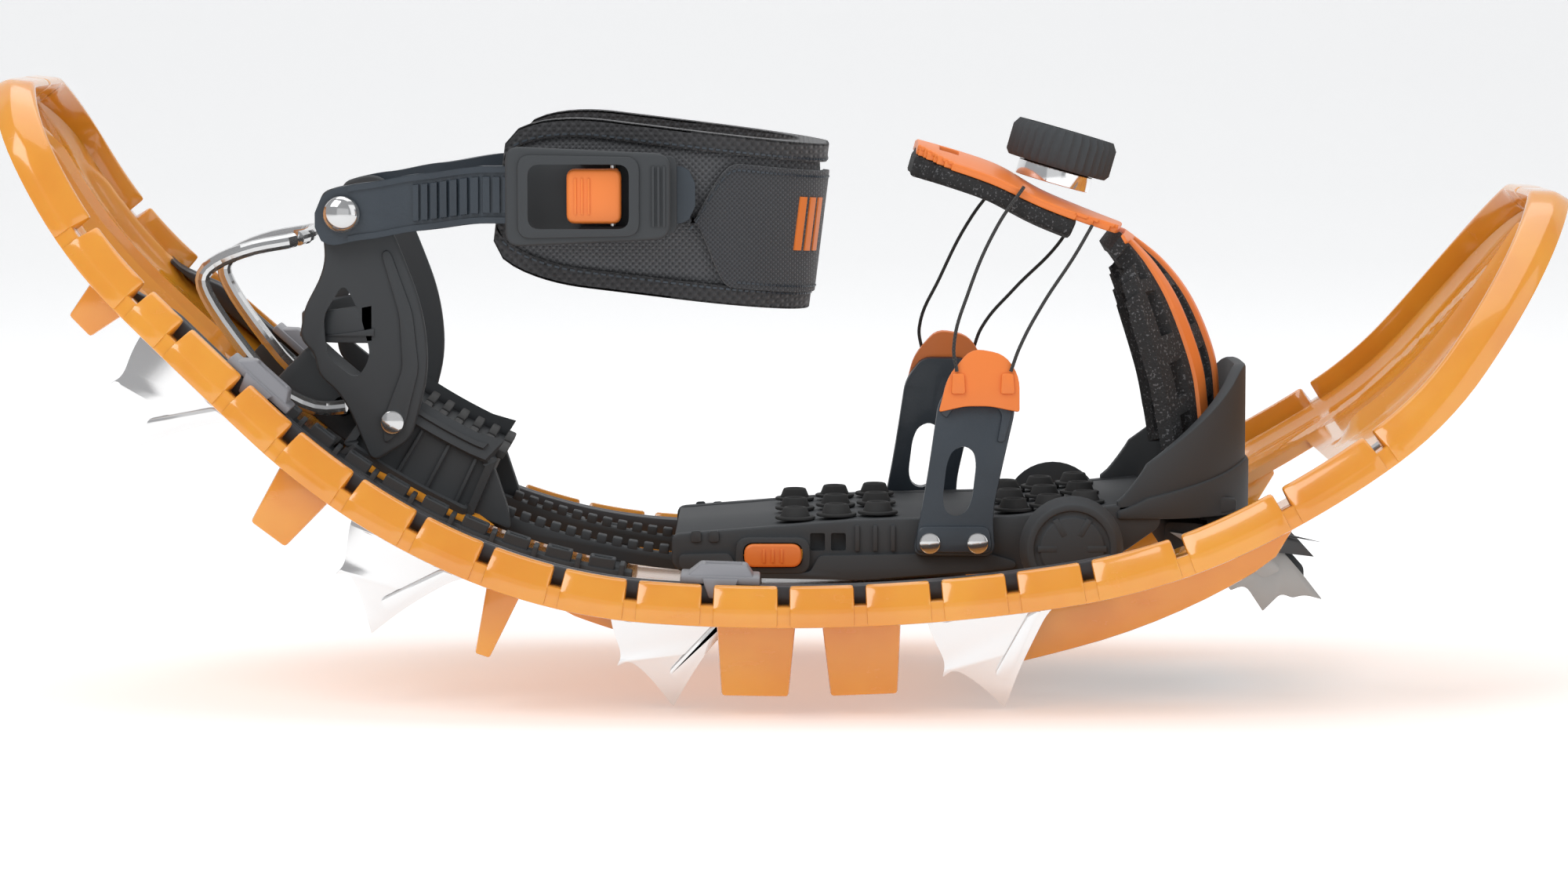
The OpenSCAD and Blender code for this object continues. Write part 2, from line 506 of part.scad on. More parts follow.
module buckle_base() color("dimgray") difference() {
    union() {
        translate([buckle_x0, -base_y - 3, loop_z - 13]) cube([buckle_x1 - buckle_x0, 3, 26]);
        for (z = [loop_z - 13, loop_z + 10]) {
            translate([lever_pin_x - 8, -base_y - 9, z]) cube([8, 9, 3]);
            translate([lever_pin_x - 1, -lever_pin_y, z]) cube([4, 6, 3]);
            translate([lever_pin_x, -lever_pin_y, z]) cylinder(h = 3, r = 3, $fn = 32);
            translate([buckle_x0 + 22, -base_y - 7, z]) cube([16, 7, 3]);
        }
    }
    upright_pin(lever_pin_x, lever_pin_y, 40, 3.1);
    upright_pin(tab_pin_x, tab_pin_y, 40, 2.1);
}
module lever_pin() color("silver") upright_pin(lever_pin_x, lever_pin_y, 12, 3);
module buckle_lever() color("dimgray") difference() {
    union() {
        translate([buckle_x0 - 2, -lever_y - 4, loop_z - 17]) cube([buckle_x1 - buckle_x0, 4, 34]);
        translate([lever_pin_x - 2.6, -lever_y - 0.5, loop_z - 9]) cube([5.2, lever_y - lever_pin_y + 0.5, 18]);
        upright_pin(lever_pin_x, lever_pin_y, 9, 5.2);
    }
    translate([buckle_x0 + 5, -lever_y - 5, loop_z - 11]) cube([34, 6, 22]);
    upright_pin(lever_pin_x, lever_pin_y, 40, 3.1);
}
module release_tab() color("darkorange") difference() {
    union() {
        translate([buckle_x0 + 18, -lever_y - 2, loop_z - 9]) cube([18, 5, 18]);
        translate([tab_pin_x - 2, -lever_y + 2.9, loop_z - 9]) cube([4, 2.9, 18]);
    }
    upright_pin(tab_pin_x, tab_pin_y, 40, 2.1);
}
module tab_pin() color("silver") upright_pin(tab_pin_x, tab_pin_y, 10, 2);
module strap_rivets() color("silver") both_sides() {
    pin_y([rivet.x, 0, rivet.y], -half_b - cup_t - 6.5, -half_b + 1.5, 6);
    pin_y([rivet.x, 0, rivet.y], -half_b - cup_t - 8, -half_b - cup_t - 6.5, 12);
}

// ---------- tongue and dial ----------
tongue_w = 33;
// Stations of the tongue from the toe upwards, from the pivot: [crown x, crown z, edge x, edge z]
tongue_line = [[54, 32, 38, 27], [54, 47, 36, 39], [52, 62, 33, 54], [44.5, 80, 26, 77],
    [34, 93.5, 21, 92], [21, 103.5, 17.5, 103]];
plate_line = [[20, 105.5, 16, 105], [6, 111, 4, 109], [-8, 117, -9, 114], [-22, 125, -24, 121],
    [-36, 130, -38, 126], [-50, 134, -51, 130]];
function arch_point(q, n, u, off, w) = [pivot.x + q[0] + (q[2] - q[0]) * u * u + n.x * off, u * w,
    pivot.z + q[1] + (q[3] - q[1]) * u * u + n.y * off];
function arch_ring(v, i, off0, off1, w) =
    let (a = v[max(i - 1, 0)], b = v[min(i + 1, len(v) - 1)], t = unit([b[0] - a[0], b[1] - a[1]]),
        n = [-t.y, t.x], q = v[i])
    concat([for (k = [-4 : 4]) arch_point(q, n, k / 4, off0, w)],
        [for (k = [4 : -1 : -4]) arch_point(q, n, k / 4, off1, w)]);
module arch(v, off0, off1, w) {
    loft([for (i = [0 : len(v) - 1]) arch_ring(v, i, off1, off0, w)], strip = true);
}
module tongue_shell() color("darkorange") arch(tongue_line, 0, 2.5, tongue_w);
foam_gap = 2.3;                     // between the facets of the frame and of its foam
module tongue_foam() color("black") arch(tongue_line, 2.5 + foam_gap, 9, tongue_w);
module top_plate() color("darkorange") arch(plate_line, 0, 3, 29);
module top_foam() color("black") loft([for (i = [1 : 5]) arch_ring(plate_line, i, 12, 3.2, 29)], strip = true);
dial_tilt = 16;
module dial_frame() {
    translate([pivot.x - 4.5, 0, pivot.z + 117.5]) rotate([0, dial_tilt, 0]) children();
}
spindle_h = 7;
module dial_spindle() color("silver") dial_frame() {
    translate([0, 0, 1.6]) cylinder(h = spindle_h - 1.6, d = 26, $fn = 48);
    translate([0, 0, spindle_h - 0.5]) cylinder(h = 10, d = 8, $fn = 32);
}
module dial_knob() color("dimgray") dial_frame() translate([0, 0, spindle_h + 0.3]) difference() {
    cylinder(h = 13, d = dial_d, $fn = 72);
    translate([0, 0, -1]) cylinder(h = 11, d = 8.1, $fn = 32);
}
// Chosen points of each lace run, from the top plate to the wing cap, from the pivot
lace_runs = [
    [[-15, -30, 119], [-24, -33, 106], [-34, -40, 84], [-39, -45.6, 66], [-38, -46.8, 58]],
    [[8, -30, 106], [2, -33, 96], [-9, -39, 80], [-17, -45.6, 66], [-20, -46.8, 58]],
    [[-20, 30, 119], [-30, 33, 106], [-41, 40, 84], [-48, 45.6, 66], [-47, 46.8, 58]],
    [[6, 30, 106], [0, 33, 96], [-15, 39, 80], [-26, 45.6, 66], [-29, 46.8, 58]]];
module lace(i) color("black") tube(spline([for (q = lace_runs[i]) [pivot.x, 0, pivot.z] + q], 5), lace_d);
module lace_near_rear() lace(0);
module lace_near_front() lace(1);
module lace_far_rear() lace(2);
module lace_far_front() lace(3);

deck_tail();
deck_heel();
deck_toe();
deck_nose();
lip_right();
lip_left();
end_lips();
deck_lugs();
pivot_walls();
rod_right();
rod_left();
tail_subframe();
heel_rest();
rear_clips();
front_clips();
blade_pair_1();
blade_pair_2();
blade_pair_3();
blade_pair_4();
blade_screws();
nose_panel();
pivot_pins();
hub_caps();
toe_plate();
traction_pads();
toe_cup();
wing_right();
wing_left();
wing_cap_right();
wing_cap_left();
wing_rivets();
claw_carrier();
front_claw();
size_button();
heel_block();
heel_tread();
rail_right();
rail_left();
heel_cup();
cup_rivets();
lift_bail();
ladder_strap();
far_strap();
instep_pad();
buckle_base();
lever_pin();
buckle_lever();
tab_pin();
release_tab();
strap_rivets();
tongue_shell();
tongue_foam();
top_plate();
top_foam();
dial_spindle();
dial_knob();
lace_near_rear();
lace_near_front();
lace_far_rear();
lace_far_front();
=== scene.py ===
"""Looks of a flexible snowshoe with steel crampon blades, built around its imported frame.

Pieces of the deck are modelled flat, as the deck lies before it is flexed: x is the arc length from the
tail tip, y the distance across and z the height above the deck line. They are then bent onto the line.
"""
from __future__ import annotations

import logging
import math
from dataclasses import dataclass, field
from enum import Enum
from typing import Callable, Iterable, Sequence

import bpy
from mathutils import Matrix, Vector


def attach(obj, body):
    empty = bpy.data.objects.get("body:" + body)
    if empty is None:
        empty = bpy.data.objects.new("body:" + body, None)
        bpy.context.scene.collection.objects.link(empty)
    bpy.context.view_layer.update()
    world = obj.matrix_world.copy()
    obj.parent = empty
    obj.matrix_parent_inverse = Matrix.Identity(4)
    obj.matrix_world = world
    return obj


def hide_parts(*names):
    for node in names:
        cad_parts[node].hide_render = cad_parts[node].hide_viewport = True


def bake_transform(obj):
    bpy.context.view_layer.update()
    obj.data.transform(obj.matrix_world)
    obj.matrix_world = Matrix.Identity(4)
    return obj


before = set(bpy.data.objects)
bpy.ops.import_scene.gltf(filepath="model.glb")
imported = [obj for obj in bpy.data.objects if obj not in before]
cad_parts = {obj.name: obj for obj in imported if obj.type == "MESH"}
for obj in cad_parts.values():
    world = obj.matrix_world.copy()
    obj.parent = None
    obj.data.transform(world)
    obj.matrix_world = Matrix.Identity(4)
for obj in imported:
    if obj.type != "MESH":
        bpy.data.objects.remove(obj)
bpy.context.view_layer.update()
LOG = logging.getLogger("snowshoe")
MM = 0.001
Point = Sequence[float]


class Body(str, Enum):
    """The moving bodies that pieces ride on."""

    DECK = "deck"
    BINDING = "binding"
    BUTTON = "size_button"
    HEEL = "heel_carriage"
    STRAP = "instep_strap"
    LEVER = "buckle_lever"
    TAB = "release_tab"
    TONGUE = "tongue"
    SPINDLE = "dial_spindle"
    KNOB = "dial_knob"


# ---------------------------------------------------------------- shader maths
class Sock:
    """A node socket in a shader expression; operators on it add Math nodes."""

    def __init__(self, graph: "Graph", socket: bpy.types.NodeSocket) -> None:
        """Wraps one output socket of the graph."""
        self.graph = graph
        self.socket = socket

    def _op(self, kind: str, a: "Value", b: "Value" = 0.0) -> "Sock":
        """Adds one Math node of that kind."""
        return self.graph.node("ShaderNodeMath", {"operation": kind}, {0: a, 1: b})

    def __add__(self, other: "Value") -> "Sock":
        """Sum."""
        return self._op("ADD", self, other)

    def __sub__(self, other: "Value") -> "Sock":
        """Difference."""
        return self._op("SUBTRACT", self, other)

    def __rsub__(self, other: "Value") -> "Sock":
        """Reflected difference."""
        return self._op("SUBTRACT", other, self)

    def __mul__(self, other: "Value") -> "Sock":
        """Product."""
        return self._op("MULTIPLY", self, other)

    __radd__ = __add__
    __rmul__ = __mul__

    def above(self, edge: float) -> "Sock":
        """1 where this value is over the edge, and 0 elsewhere."""
        return self._op("GREATER_THAN", self, edge)

    def sine(self) -> "Sock":
        """Sine of this value."""
        return self._op("SINE", self)


Value = "Sock | float"
Colour = tuple[float, float, float]


class Graph:
    """The node tree of one material, with a Principled surface."""

    def __init__(self, name: str) -> None:
        """Starts an empty material of that name."""
        self.material = bpy.data.materials.new(name)
        self.material.use_nodes = True
        self.tree = self.material.node_tree
        self.surface = self.tree.nodes["Principled BSDF"]
        self.coords = self.node("ShaderNodeTexCoord", {}, {}, "Object")

    def node(self, kind: str, settings: dict[str, object], inputs: dict[int | str, object],
             output: int | str = 0) -> Sock:
        """Adds a node and returns one of its outputs.

        Args:
            kind: The node's type.
            settings: Attributes that are set first, such as a Math node's operation.
            inputs: Socket names or numbers, with a wrapped socket or a plain value.
            output: The output's name or number.

        Returns:
            The wrapped output socket.
        """
        made = self.tree.nodes.new(kind)
        for key, value in settings.items():
            setattr(made, key, value)
        for key, value in inputs.items():
            if isinstance(value, Sock):
                self.tree.links.new(value.socket, made.inputs[key])
            else:
                made.inputs[key].default_value = value
        return Sock(self, made.outputs[output])

    def noise(self, scale: float, detail: float = 2.0, stretch: Point = (1, 1, 1)) -> Sock:
        """Noise over the piece, from 0 to 1, with lumps 1/scale metres wide."""
        spot = self.node("ShaderNodeMapping", {}, {"Vector": self.coords, "Scale": tuple(stretch)})
        return self.node("ShaderNodeTexNoise", {}, {"Vector": spot, "Scale": scale, "Detail": detail}, "Fac")

    def ramp(self, factor: Sock, low: float, high: float, out_low: float = 0.0, out_high: float = 1.0) -> Sock:
        """Maps a factor between two limits onto another range, held at its ends."""
        return self.node("ShaderNodeMapRange", {}, {"Value": factor, "From Min": low, "From Max": high,
                                                    "To Min": out_low, "To Max": out_high})

    def mix(self, factor: "Sock | float", first: "Sock | Colour", second: "Sock | Colour") -> Sock:
        """Mixes two colours."""
        ready = [c if isinstance(c, Sock) else (*c, 1.0) for c in (first, second)]
        return self.node("ShaderNodeMix", {"data_type": "RGBA"}, {0: factor, 6: ready[0], 7: ready[1]}, 2)

    def feed(self, name: str, value: "Sock | float | Colour") -> None:
        """Sets or links an input of the surface."""
        target = self.surface.inputs[name]
        if isinstance(value, Sock):
            self.tree.links.new(value.socket, target)
        elif isinstance(value, tuple):
            target.default_value = (*value, 1.0)
        else:
            target.default_value = value

    def bump(self, height: Sock, distance: float, strength: float = 1.0) -> None:
        """Feeds a bump, with its height in metres, to the surface's normal."""
        self.feed("Normal", self.node("ShaderNodeBump", {}, {"Height": height, "Distance": distance,
                                                            "Strength": strength}))


# ---------------------------------------------------------------- finishes
@dataclass(frozen=True)
class Moulding:
    """A moulded plastic with fine grain, scuffs and slow colour drift."""

    name: str
    colour: Colour
    shade: Colour
    roughness: float = 0.35
    coat: float = 0.0
    grain: float = 0.00006
    grain_scale: float = 900.0
    scatter: float = 0.0

    def material(self) -> bpy.types.Material:
        """Builds the material once, and returns it."""
        if self.name in bpy.data.materials:
            return bpy.data.materials[self.name]
        g = Graph(self.name)
        drift = g.ramp(g.noise(28.0, 3.0), 0.35, 0.65)
        fine = g.noise(self.grain_scale, 2.0)
        scuff = g.ramp(g.noise(160.0, 6.0, (0.25, 1.0, 1.0)), 0.58, 0.74)
        g.feed("Base Color", g.mix(drift * 0.55 + scuff * 0.12, self.colour, self.shade))
        g.feed("Roughness", self.roughness + scuff * 0.14 + (fine - 0.5) * 0.1)
        g.feed("Coat Weight", self.coat)
        g.feed("Coat Roughness", 0.06)
        g.feed("Subsurface Weight", self.scatter)
        g.feed("Subsurface Scale", 0.004)
        g.bump(fine + scuff * -0.3, self.grain)
        return g.material


@dataclass(frozen=True)
class Steel:
    """Stainless or hardened steel, with fine brushing and worn patches."""

    name: str
    colour: Colour
    dark: Colour
    roughness: float = 0.22
    brush: Point = (0.08, 1.0, 1.0)
    wear: float = 0.4

    def material(self) -> bpy.types.Material:
        """Builds the material once, and returns it."""
        if self.name in bpy.data.materials:
            return bpy.data.materials[self.name]
        g = Graph(self.name)
        lines = g.noise(1600.0, 3.0, self.brush)
        patch = g.ramp(g.noise(70.0, 4.0), 0.45, 0.7)
        g.feed("Metallic", 1.0)
        g.feed("Base Color", g.mix(patch * self.wear, self.colour, self.dark))
        g.feed("Roughness", self.roughness + lines * 0.14 + patch * 0.08)
        g.bump(lines, 0.00003)
        return g.material


@dataclass(frozen=True)
class Woven:
    """A plain weave of thick yarns, on coordinates that follow two of the piece's axes."""

    name: str
    light: Colour
    dark: Colour
    pitch: float = 0.0011
    depth: float = 0.0003
    axes: tuple[int, int] = (0, 2)
    roughness: float = 0.75

    def material(self) -> bpy.types.Material:
        """Builds the material once, and returns it."""
        if self.name in bpy.data.materials:
            return bpy.data.materials[self.name]
        g = Graph(self.name)
        parts = g.tree.nodes.new("ShaderNodeSeparateXYZ")
        g.tree.links.new(g.coords.socket, parts.inputs[0])
        turn = math.pi / self.pitch
        across = (Sock(g, parts.outputs[self.axes[0]]) * turn).sine()
        along = (Sock(g, parts.outputs[self.axes[1]]) * turn).sine()
        over = across * along
        yarn = over * over
        fuzz = g.noise(2600.0, 2.0)
        fade = g.ramp(g.noise(45.0, 3.0), 0.3, 0.7)
        tone = g.ramp(over, -0.7, 0.7)
        g.feed("Base Color", g.mix(tone * 0.75 + fuzz * 0.2 + fade * 0.12, self.dark, self.light))
        g.feed("Roughness", self.roughness + fuzz * 0.15)
        g.feed("Sheen Weight", 0.25)
        g.bump(yarn + tone * 0.6 + fuzz * 0.25, self.depth)
        return g.material


@dataclass(frozen=True)
class Foam:
    """Dark closed-cell foam with pale flecks."""

    name: str
    base: Colour
    fleck: Colour

    def material(self) -> bpy.types.Material:
        """Builds the material once, and returns it."""
        if self.name in bpy.data.materials:
            return bpy.data.materials[self.name]
        g = Graph(self.name)
        cells = g.noise(1500.0, 2.0)
        flecks = g.ramp(g.noise(1100.0, 1.0), 0.6, 0.68)
        lumps = g.noise(260.0, 3.0)
        g.feed("Base Color", g.mix(flecks, self.base, self.fleck))
        g.feed("Roughness", 0.82 + cells * 0.12)
        g.bump(cells + lumps * 1.5, 0.0005)
        return g.material


ORANGE = Moulding("deck_gloss_orange", (0.80, 0.33, 0.030), (0.68, 0.21, 0.012), 0.2, 0.85, 0.00002, 700.0, 0.10)
TRIM = Moulding("trim_orange", (0.86, 0.17, 0.012), (0.72, 0.11, 0.008), 0.34, 0.25, 0.00003)
BLACK = Moulding("binding_black", (0.030, 0.032, 0.037), (0.018, 0.019, 0.022), 0.38, 0.12, 0.00005)
ROD = Moulding("rod_black", (0.016, 0.016, 0.018), (0.028, 0.028, 0.030), 0.45, 0.0, 0.00012, 1500.0)
FLEX = Moulding("strap_slate", (0.032, 0.044, 0.058), (0.020, 0.028, 0.038), 0.42, 0.1, 0.00006)
GREY = Moulding("clip_grey", (0.24, 0.24, 0.26), (0.17, 0.17, 0.185), 0.4, 0.1, 0.0001, 1200.0)
RUBBER = Moulding("tread_rubber", (0.020, 0.020, 0.022), (0.030, 0.030, 0.032), 0.66, 0.0, 0.00012)
PANEL = Moulding("panel_print", (0.16, 0.16, 0.165), (0.07, 0.07, 0.075), 0.3, 0.4)
BLADE = Steel("blade_steel", (0.74, 0.75, 0.77), (0.42, 0.43, 0.45), 0.16, (0.08, 1.0, 1.0), 0.6)
CLAW = Steel("claw_steel", (0.42, 0.41, 0.40), (0.20, 0.19, 0.18), 0.34)
WIRE = Steel("bright_steel", (0.78, 0.77, 0.75), (0.55, 0.54, 0.52), 0.16, (1.0, 1.0, 0.1))
CHROME = Steel("spindle_chrome", (0.80, 0.80, 0.82), (0.6, 0.6, 0.62), 0.08, (1, 1, 1), 0.1)
WEAVE = Woven("pad_weave", (0.115, 0.118, 0.125), (0.022, 0.022, 0.025))
POCKET = Woven("pocket_weave", (0.060, 0.064, 0.072), (0.016, 0.017, 0.020), 0.0008, 0.0002)
TAPE = Woven("binding_tape", (0.050, 0.050, 0.054), (0.012, 0.012, 0.013), 0.0016, 0.0004)
FOAM = Foam("speckled_foam", (0.022, 0.022, 0.023), (0.11, 0.11, 0.115))
CORD = Woven("lace_braid", (0.05, 0.05, 0.05), (0.01, 0.01, 0.01), 0.0006, 0.0001)


# ---------------------------------------------------------------- the bench
def select_only(piece: bpy.types.Object) -> None:
    """Deselects everything, and makes one piece the active and only selected object."""
    bpy.ops.object.select_all(action="DESELECT")
    piece.select_set(True)
    bpy.context.view_layer.objects.active = piece


def shape(piece: bpy.types.Object, move: Callable[[Vector], Point]) -> None:
    """Moves each point of a piece to where the function puts it."""
    for vertex in piece.data.vertices:
        vertex.co = move(vertex.co.copy())
    piece.data.update()


def outward(piece: bpy.types.Object) -> None:
    """Makes all faces point outwards."""
    select_only(piece)
    bpy.ops.object.mode_set(mode="EDIT")
    bpy.ops.mesh.select_all(action="SELECT")
    bpy.ops.mesh.remove_doubles(threshold=1e-6)
    bpy.ops.mesh.normals_make_consistent(inside=False)
    bpy.ops.object.mode_set(mode="OBJECT")


def modify(piece: bpy.types.Object, kind: str, **settings: object) -> None:
    """Adds a modifier with those settings and applies it."""
    select_only(piece)
    made = piece.modifiers.new(kind.lower(), kind)
    for key, value in settings.items():
        setattr(made, key, value)
    bpy.ops.object.modifier_apply(modifier=made.name)


def bevel(piece: bpy.types.Object, width: float, segments: int = 2, angle: float = 35.0) -> None:
    """Rounds the piece's sharp edges."""
    modify(piece, "BEVEL", width=width, segments=segments, limit_method="ANGLE", angle_limit=math.radians(angle))


def smooth(piece: bpy.types.Object, angle: float = 35.0) -> None:
    """Shades the piece smooth, except over edges sharper than the angle."""
    select_only(piece)
    bpy.ops.object.shade_smooth_by_angle(angle=math.radians(angle))


def block(name: str, low: Point, high: Point, round_by: float = 0.0, cuts: int = 0) -> bpy.types.Object:
    """A box between two corners, with rounded edges and cuts across its x axis.

    Args:
        name: The piece's name.
        low: The lowest corner, in metres.
        high: The highest corner, in metres.
        round_by: The width of its rounded edges.
        cuts: How many cuts it has across x, so that it can bend.

    Returns:
        The new piece.
    """
    centre = [(a + b) / 2 for a, b in zip(low, high)]
    bpy.ops.object.select_all(action="DESELECT")
    bpy.ops.mesh.primitive_cube_add(size=1, location=centre)
    piece = bpy.context.object
    piece.name = name
    piece.scale = [b - a for a, b in zip(low, high)]
    bpy.ops.object.transform_apply(location=True, rotation=True, scale=True)
    if round_by:
        bevel(piece, round_by)
    bpy.ops.object.mode_set(mode="EDIT")
    for step in range(1, cuts + 1):
        bpy.ops.mesh.select_all(action="SELECT")
        x = low[0] + (high[0] - low[0]) * step / (cuts + 1)
        bpy.ops.mesh.bisect(plane_co=(x, 0, 0), plane_no=(1, 0, 0))
    bpy.ops.object.mode_set(mode="OBJECT")
    return piece


def plate(name: str, outline: Sequence[Point], y0: float, y1: float, round_by: float = 0.0,
          segments: int = 2) -> bpy.types.Object:
    """A plate with an outline in x and z, from y0 to y1.

    Args:
        name: The piece's name.
        outline: Points of the outline, in order.
        y0: One face's place across the shoe.
        y1: The other face's place.
        round_by: The width of its rounded edges.
        segments: Steps in each rounded edge.

    Returns:
        The new piece.
    """
    bpy.ops.object.select_all(action="DESELECT")
    bpy.ops.mesh.primitive_circle_add(vertices=len(outline), radius=1, fill_type="NGON", location=(0, 0, 0))
    piece = bpy.context.object
    piece.name = name
    for vertex, spot in zip(piece.data.vertices, outline):
        vertex.co = (spot[0], y0, spot[1])
    bpy.ops.object.mode_set(mode="EDIT")
    bpy.ops.mesh.select_all(action="SELECT")
    bpy.ops.mesh.extrude_region_move(TRANSFORM_OT_translate={"value": (0, y1 - y0, 0)})
    bpy.ops.object.mode_set(mode="OBJECT")
    outward(piece)
    if round_by:
        bevel(piece, round_by, segments)
    return piece


def rounded(points: Sequence[Point], radius: float | Sequence[float], steps: int = 5) -> list[tuple[float, float]]:
    """An outline with its corners turned to short curves.

    Args:
        points: The outline's corners.
        radius: How far from a corner its curve starts, or one value for each corner.
        steps: Points in each curve.

    Returns:
        The outline's points.
    """
    count = len(points)
    radii = [radius] * count if isinstance(radius, (int, float)) else list(radius)
    found = []
    for i, corner in enumerate(points):
        here = Vector(corner)
        ends = []
        for other in (points[i - 1], points[(i + 1) % count]):
            way = Vector(other) - here
            ends.append(here + way.normalized() * min(radii[i], way.length * 0.48))
        for k in range(steps + 1):
            t = k / steps
            spot = ends[0] * (1 - t) ** 2 + here * 2 * t * (1 - t) + ends[1] * t * t
            found.append((spot.x, spot.y))
    return found


def circle(x: float, z: float, radius: float) -> list[tuple[float, float]]:
    """Points of a round hole in a plate's side view."""
    return [(x + radius * math.cos(a), z + radius * math.sin(a)) for a in (2 * math.pi * k / 24 for k in range(24))]


def disc(name: str, radius: float, height: float, place: Matrix, sides: int = 48,
         round_by: float = 0.0) -> bpy.types.Object:
    """A cylinder that stands on the origin of a placing matrix."""
    bpy.ops.object.select_all(action="DESELECT")
    bpy.ops.mesh.primitive_cylinder_add(vertices=sides, radius=radius, depth=height, location=(0, 0, height / 2))
    piece = bpy.context.object
    piece.name = name
    bpy.ops.object.transform_apply(location=True, rotation=True, scale=True)
    if round_by:
        bevel(piece, round_by)
    piece.data.transform(place)
    return piece


def wire(name: str, points: Sequence[Point], radius: float, sides: int = 8) -> bpy.types.Object:
    """A round wire through points, as a mesh."""
    piece = cord_curve(name, points, radius, sides)
    select_only(piece)
    bpy.ops.object.convert(target="MESH")
    return bpy.context.object


def cord_curve(name: str, points: Sequence[Point], radius: float, sides: int = 4) -> bpy.types.Object:
    """A curve of one open spline through points, with a round section."""
    data = bpy.data.curves.new(name, "CURVE")
    data.dimensions = "3D"
    data.bevel_depth = radius
    data.bevel_resolution = sides
    data.use_fill_caps = True
    data.resolution_u = 8
    spline = data.splines.new("BEZIER")
    spline.bezier_points.add(len(points) - 1)
    for knot, spot in zip(spline.bezier_points, points):
        knot.co = spot
        knot.handle_left_type = "AUTO"
        knot.handle_right_type = "AUTO"
    piece = bpy.data.objects.new(name, data)
    bpy.context.scene.collection.objects.link(piece)
    return piece


def copy_of(piece: bpy.types.Object, name: str) -> bpy.types.Object:
    """A copy of a piece with its own mesh."""
    twin = piece.copy()
    twin.data = piece.data.copy()
    twin.name = name
    bpy.context.scene.collection.objects.link(twin)
    return twin


def mirrored(piece: bpy.types.Object, name: str) -> bpy.types.Object:
    """A copy of a piece on the other side of the shoe."""
    twin = copy_of(piece, name)
    shape(twin, lambda p: (p.x, -p.y, p.z))
    twin.data.flip_normals()
    return twin


def joined(name: str, pieces: Sequence[bpy.types.Object]) -> bpy.types.Object:
    """Several pieces as one object."""
    bpy.ops.object.select_all(action="DESELECT")
    for piece in pieces:
        piece.select_set(True)
    bpy.context.view_layer.objects.active = pieces[0]
    bpy.ops.object.join()
    pieces[0].name = name
    return pieces[0]


def cut(piece: bpy.types.Object, tools: Iterable[bpy.types.Object]) -> None:
    """Cuts tools out of a piece, and removes them."""
    for tool in tools:
        modify(piece, "BOOLEAN", operation="DIFFERENCE", solver="EXACT", object=tool)
        bpy.data.objects.remove(tool)


def dress(piece: bpy.types.Object, finish: Moulding | Steel | Woven | Foam, body: Body,
          stands_for: Sequence[str] = (), angle: float = 35.0) -> bpy.types.Object:
    """Gives a piece its finish, lets it ride on a body, and hides the frame nodes that it stands for.

    Args:
        piece: The finished piece.
        finish: Its finish.
        body: The body that it moves with.
        stands_for: Frame nodes that it replaces.
        angle: Edges sharper than this stay crisp.

    Returns:
        The same piece.
    """
    piece.data.materials.clear()
    piece.data.materials.append(finish.material())
    if piece.type == "MESH":
        for face in piece.data.polygons:
            face.material_index = 0
        smooth(piece, angle)
    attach(piece, body.value)
    if stands_for:
        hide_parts(*stands_for)
    LOG.info("%s: %s on %s", piece.name, finish.name, body.value)
    return piece


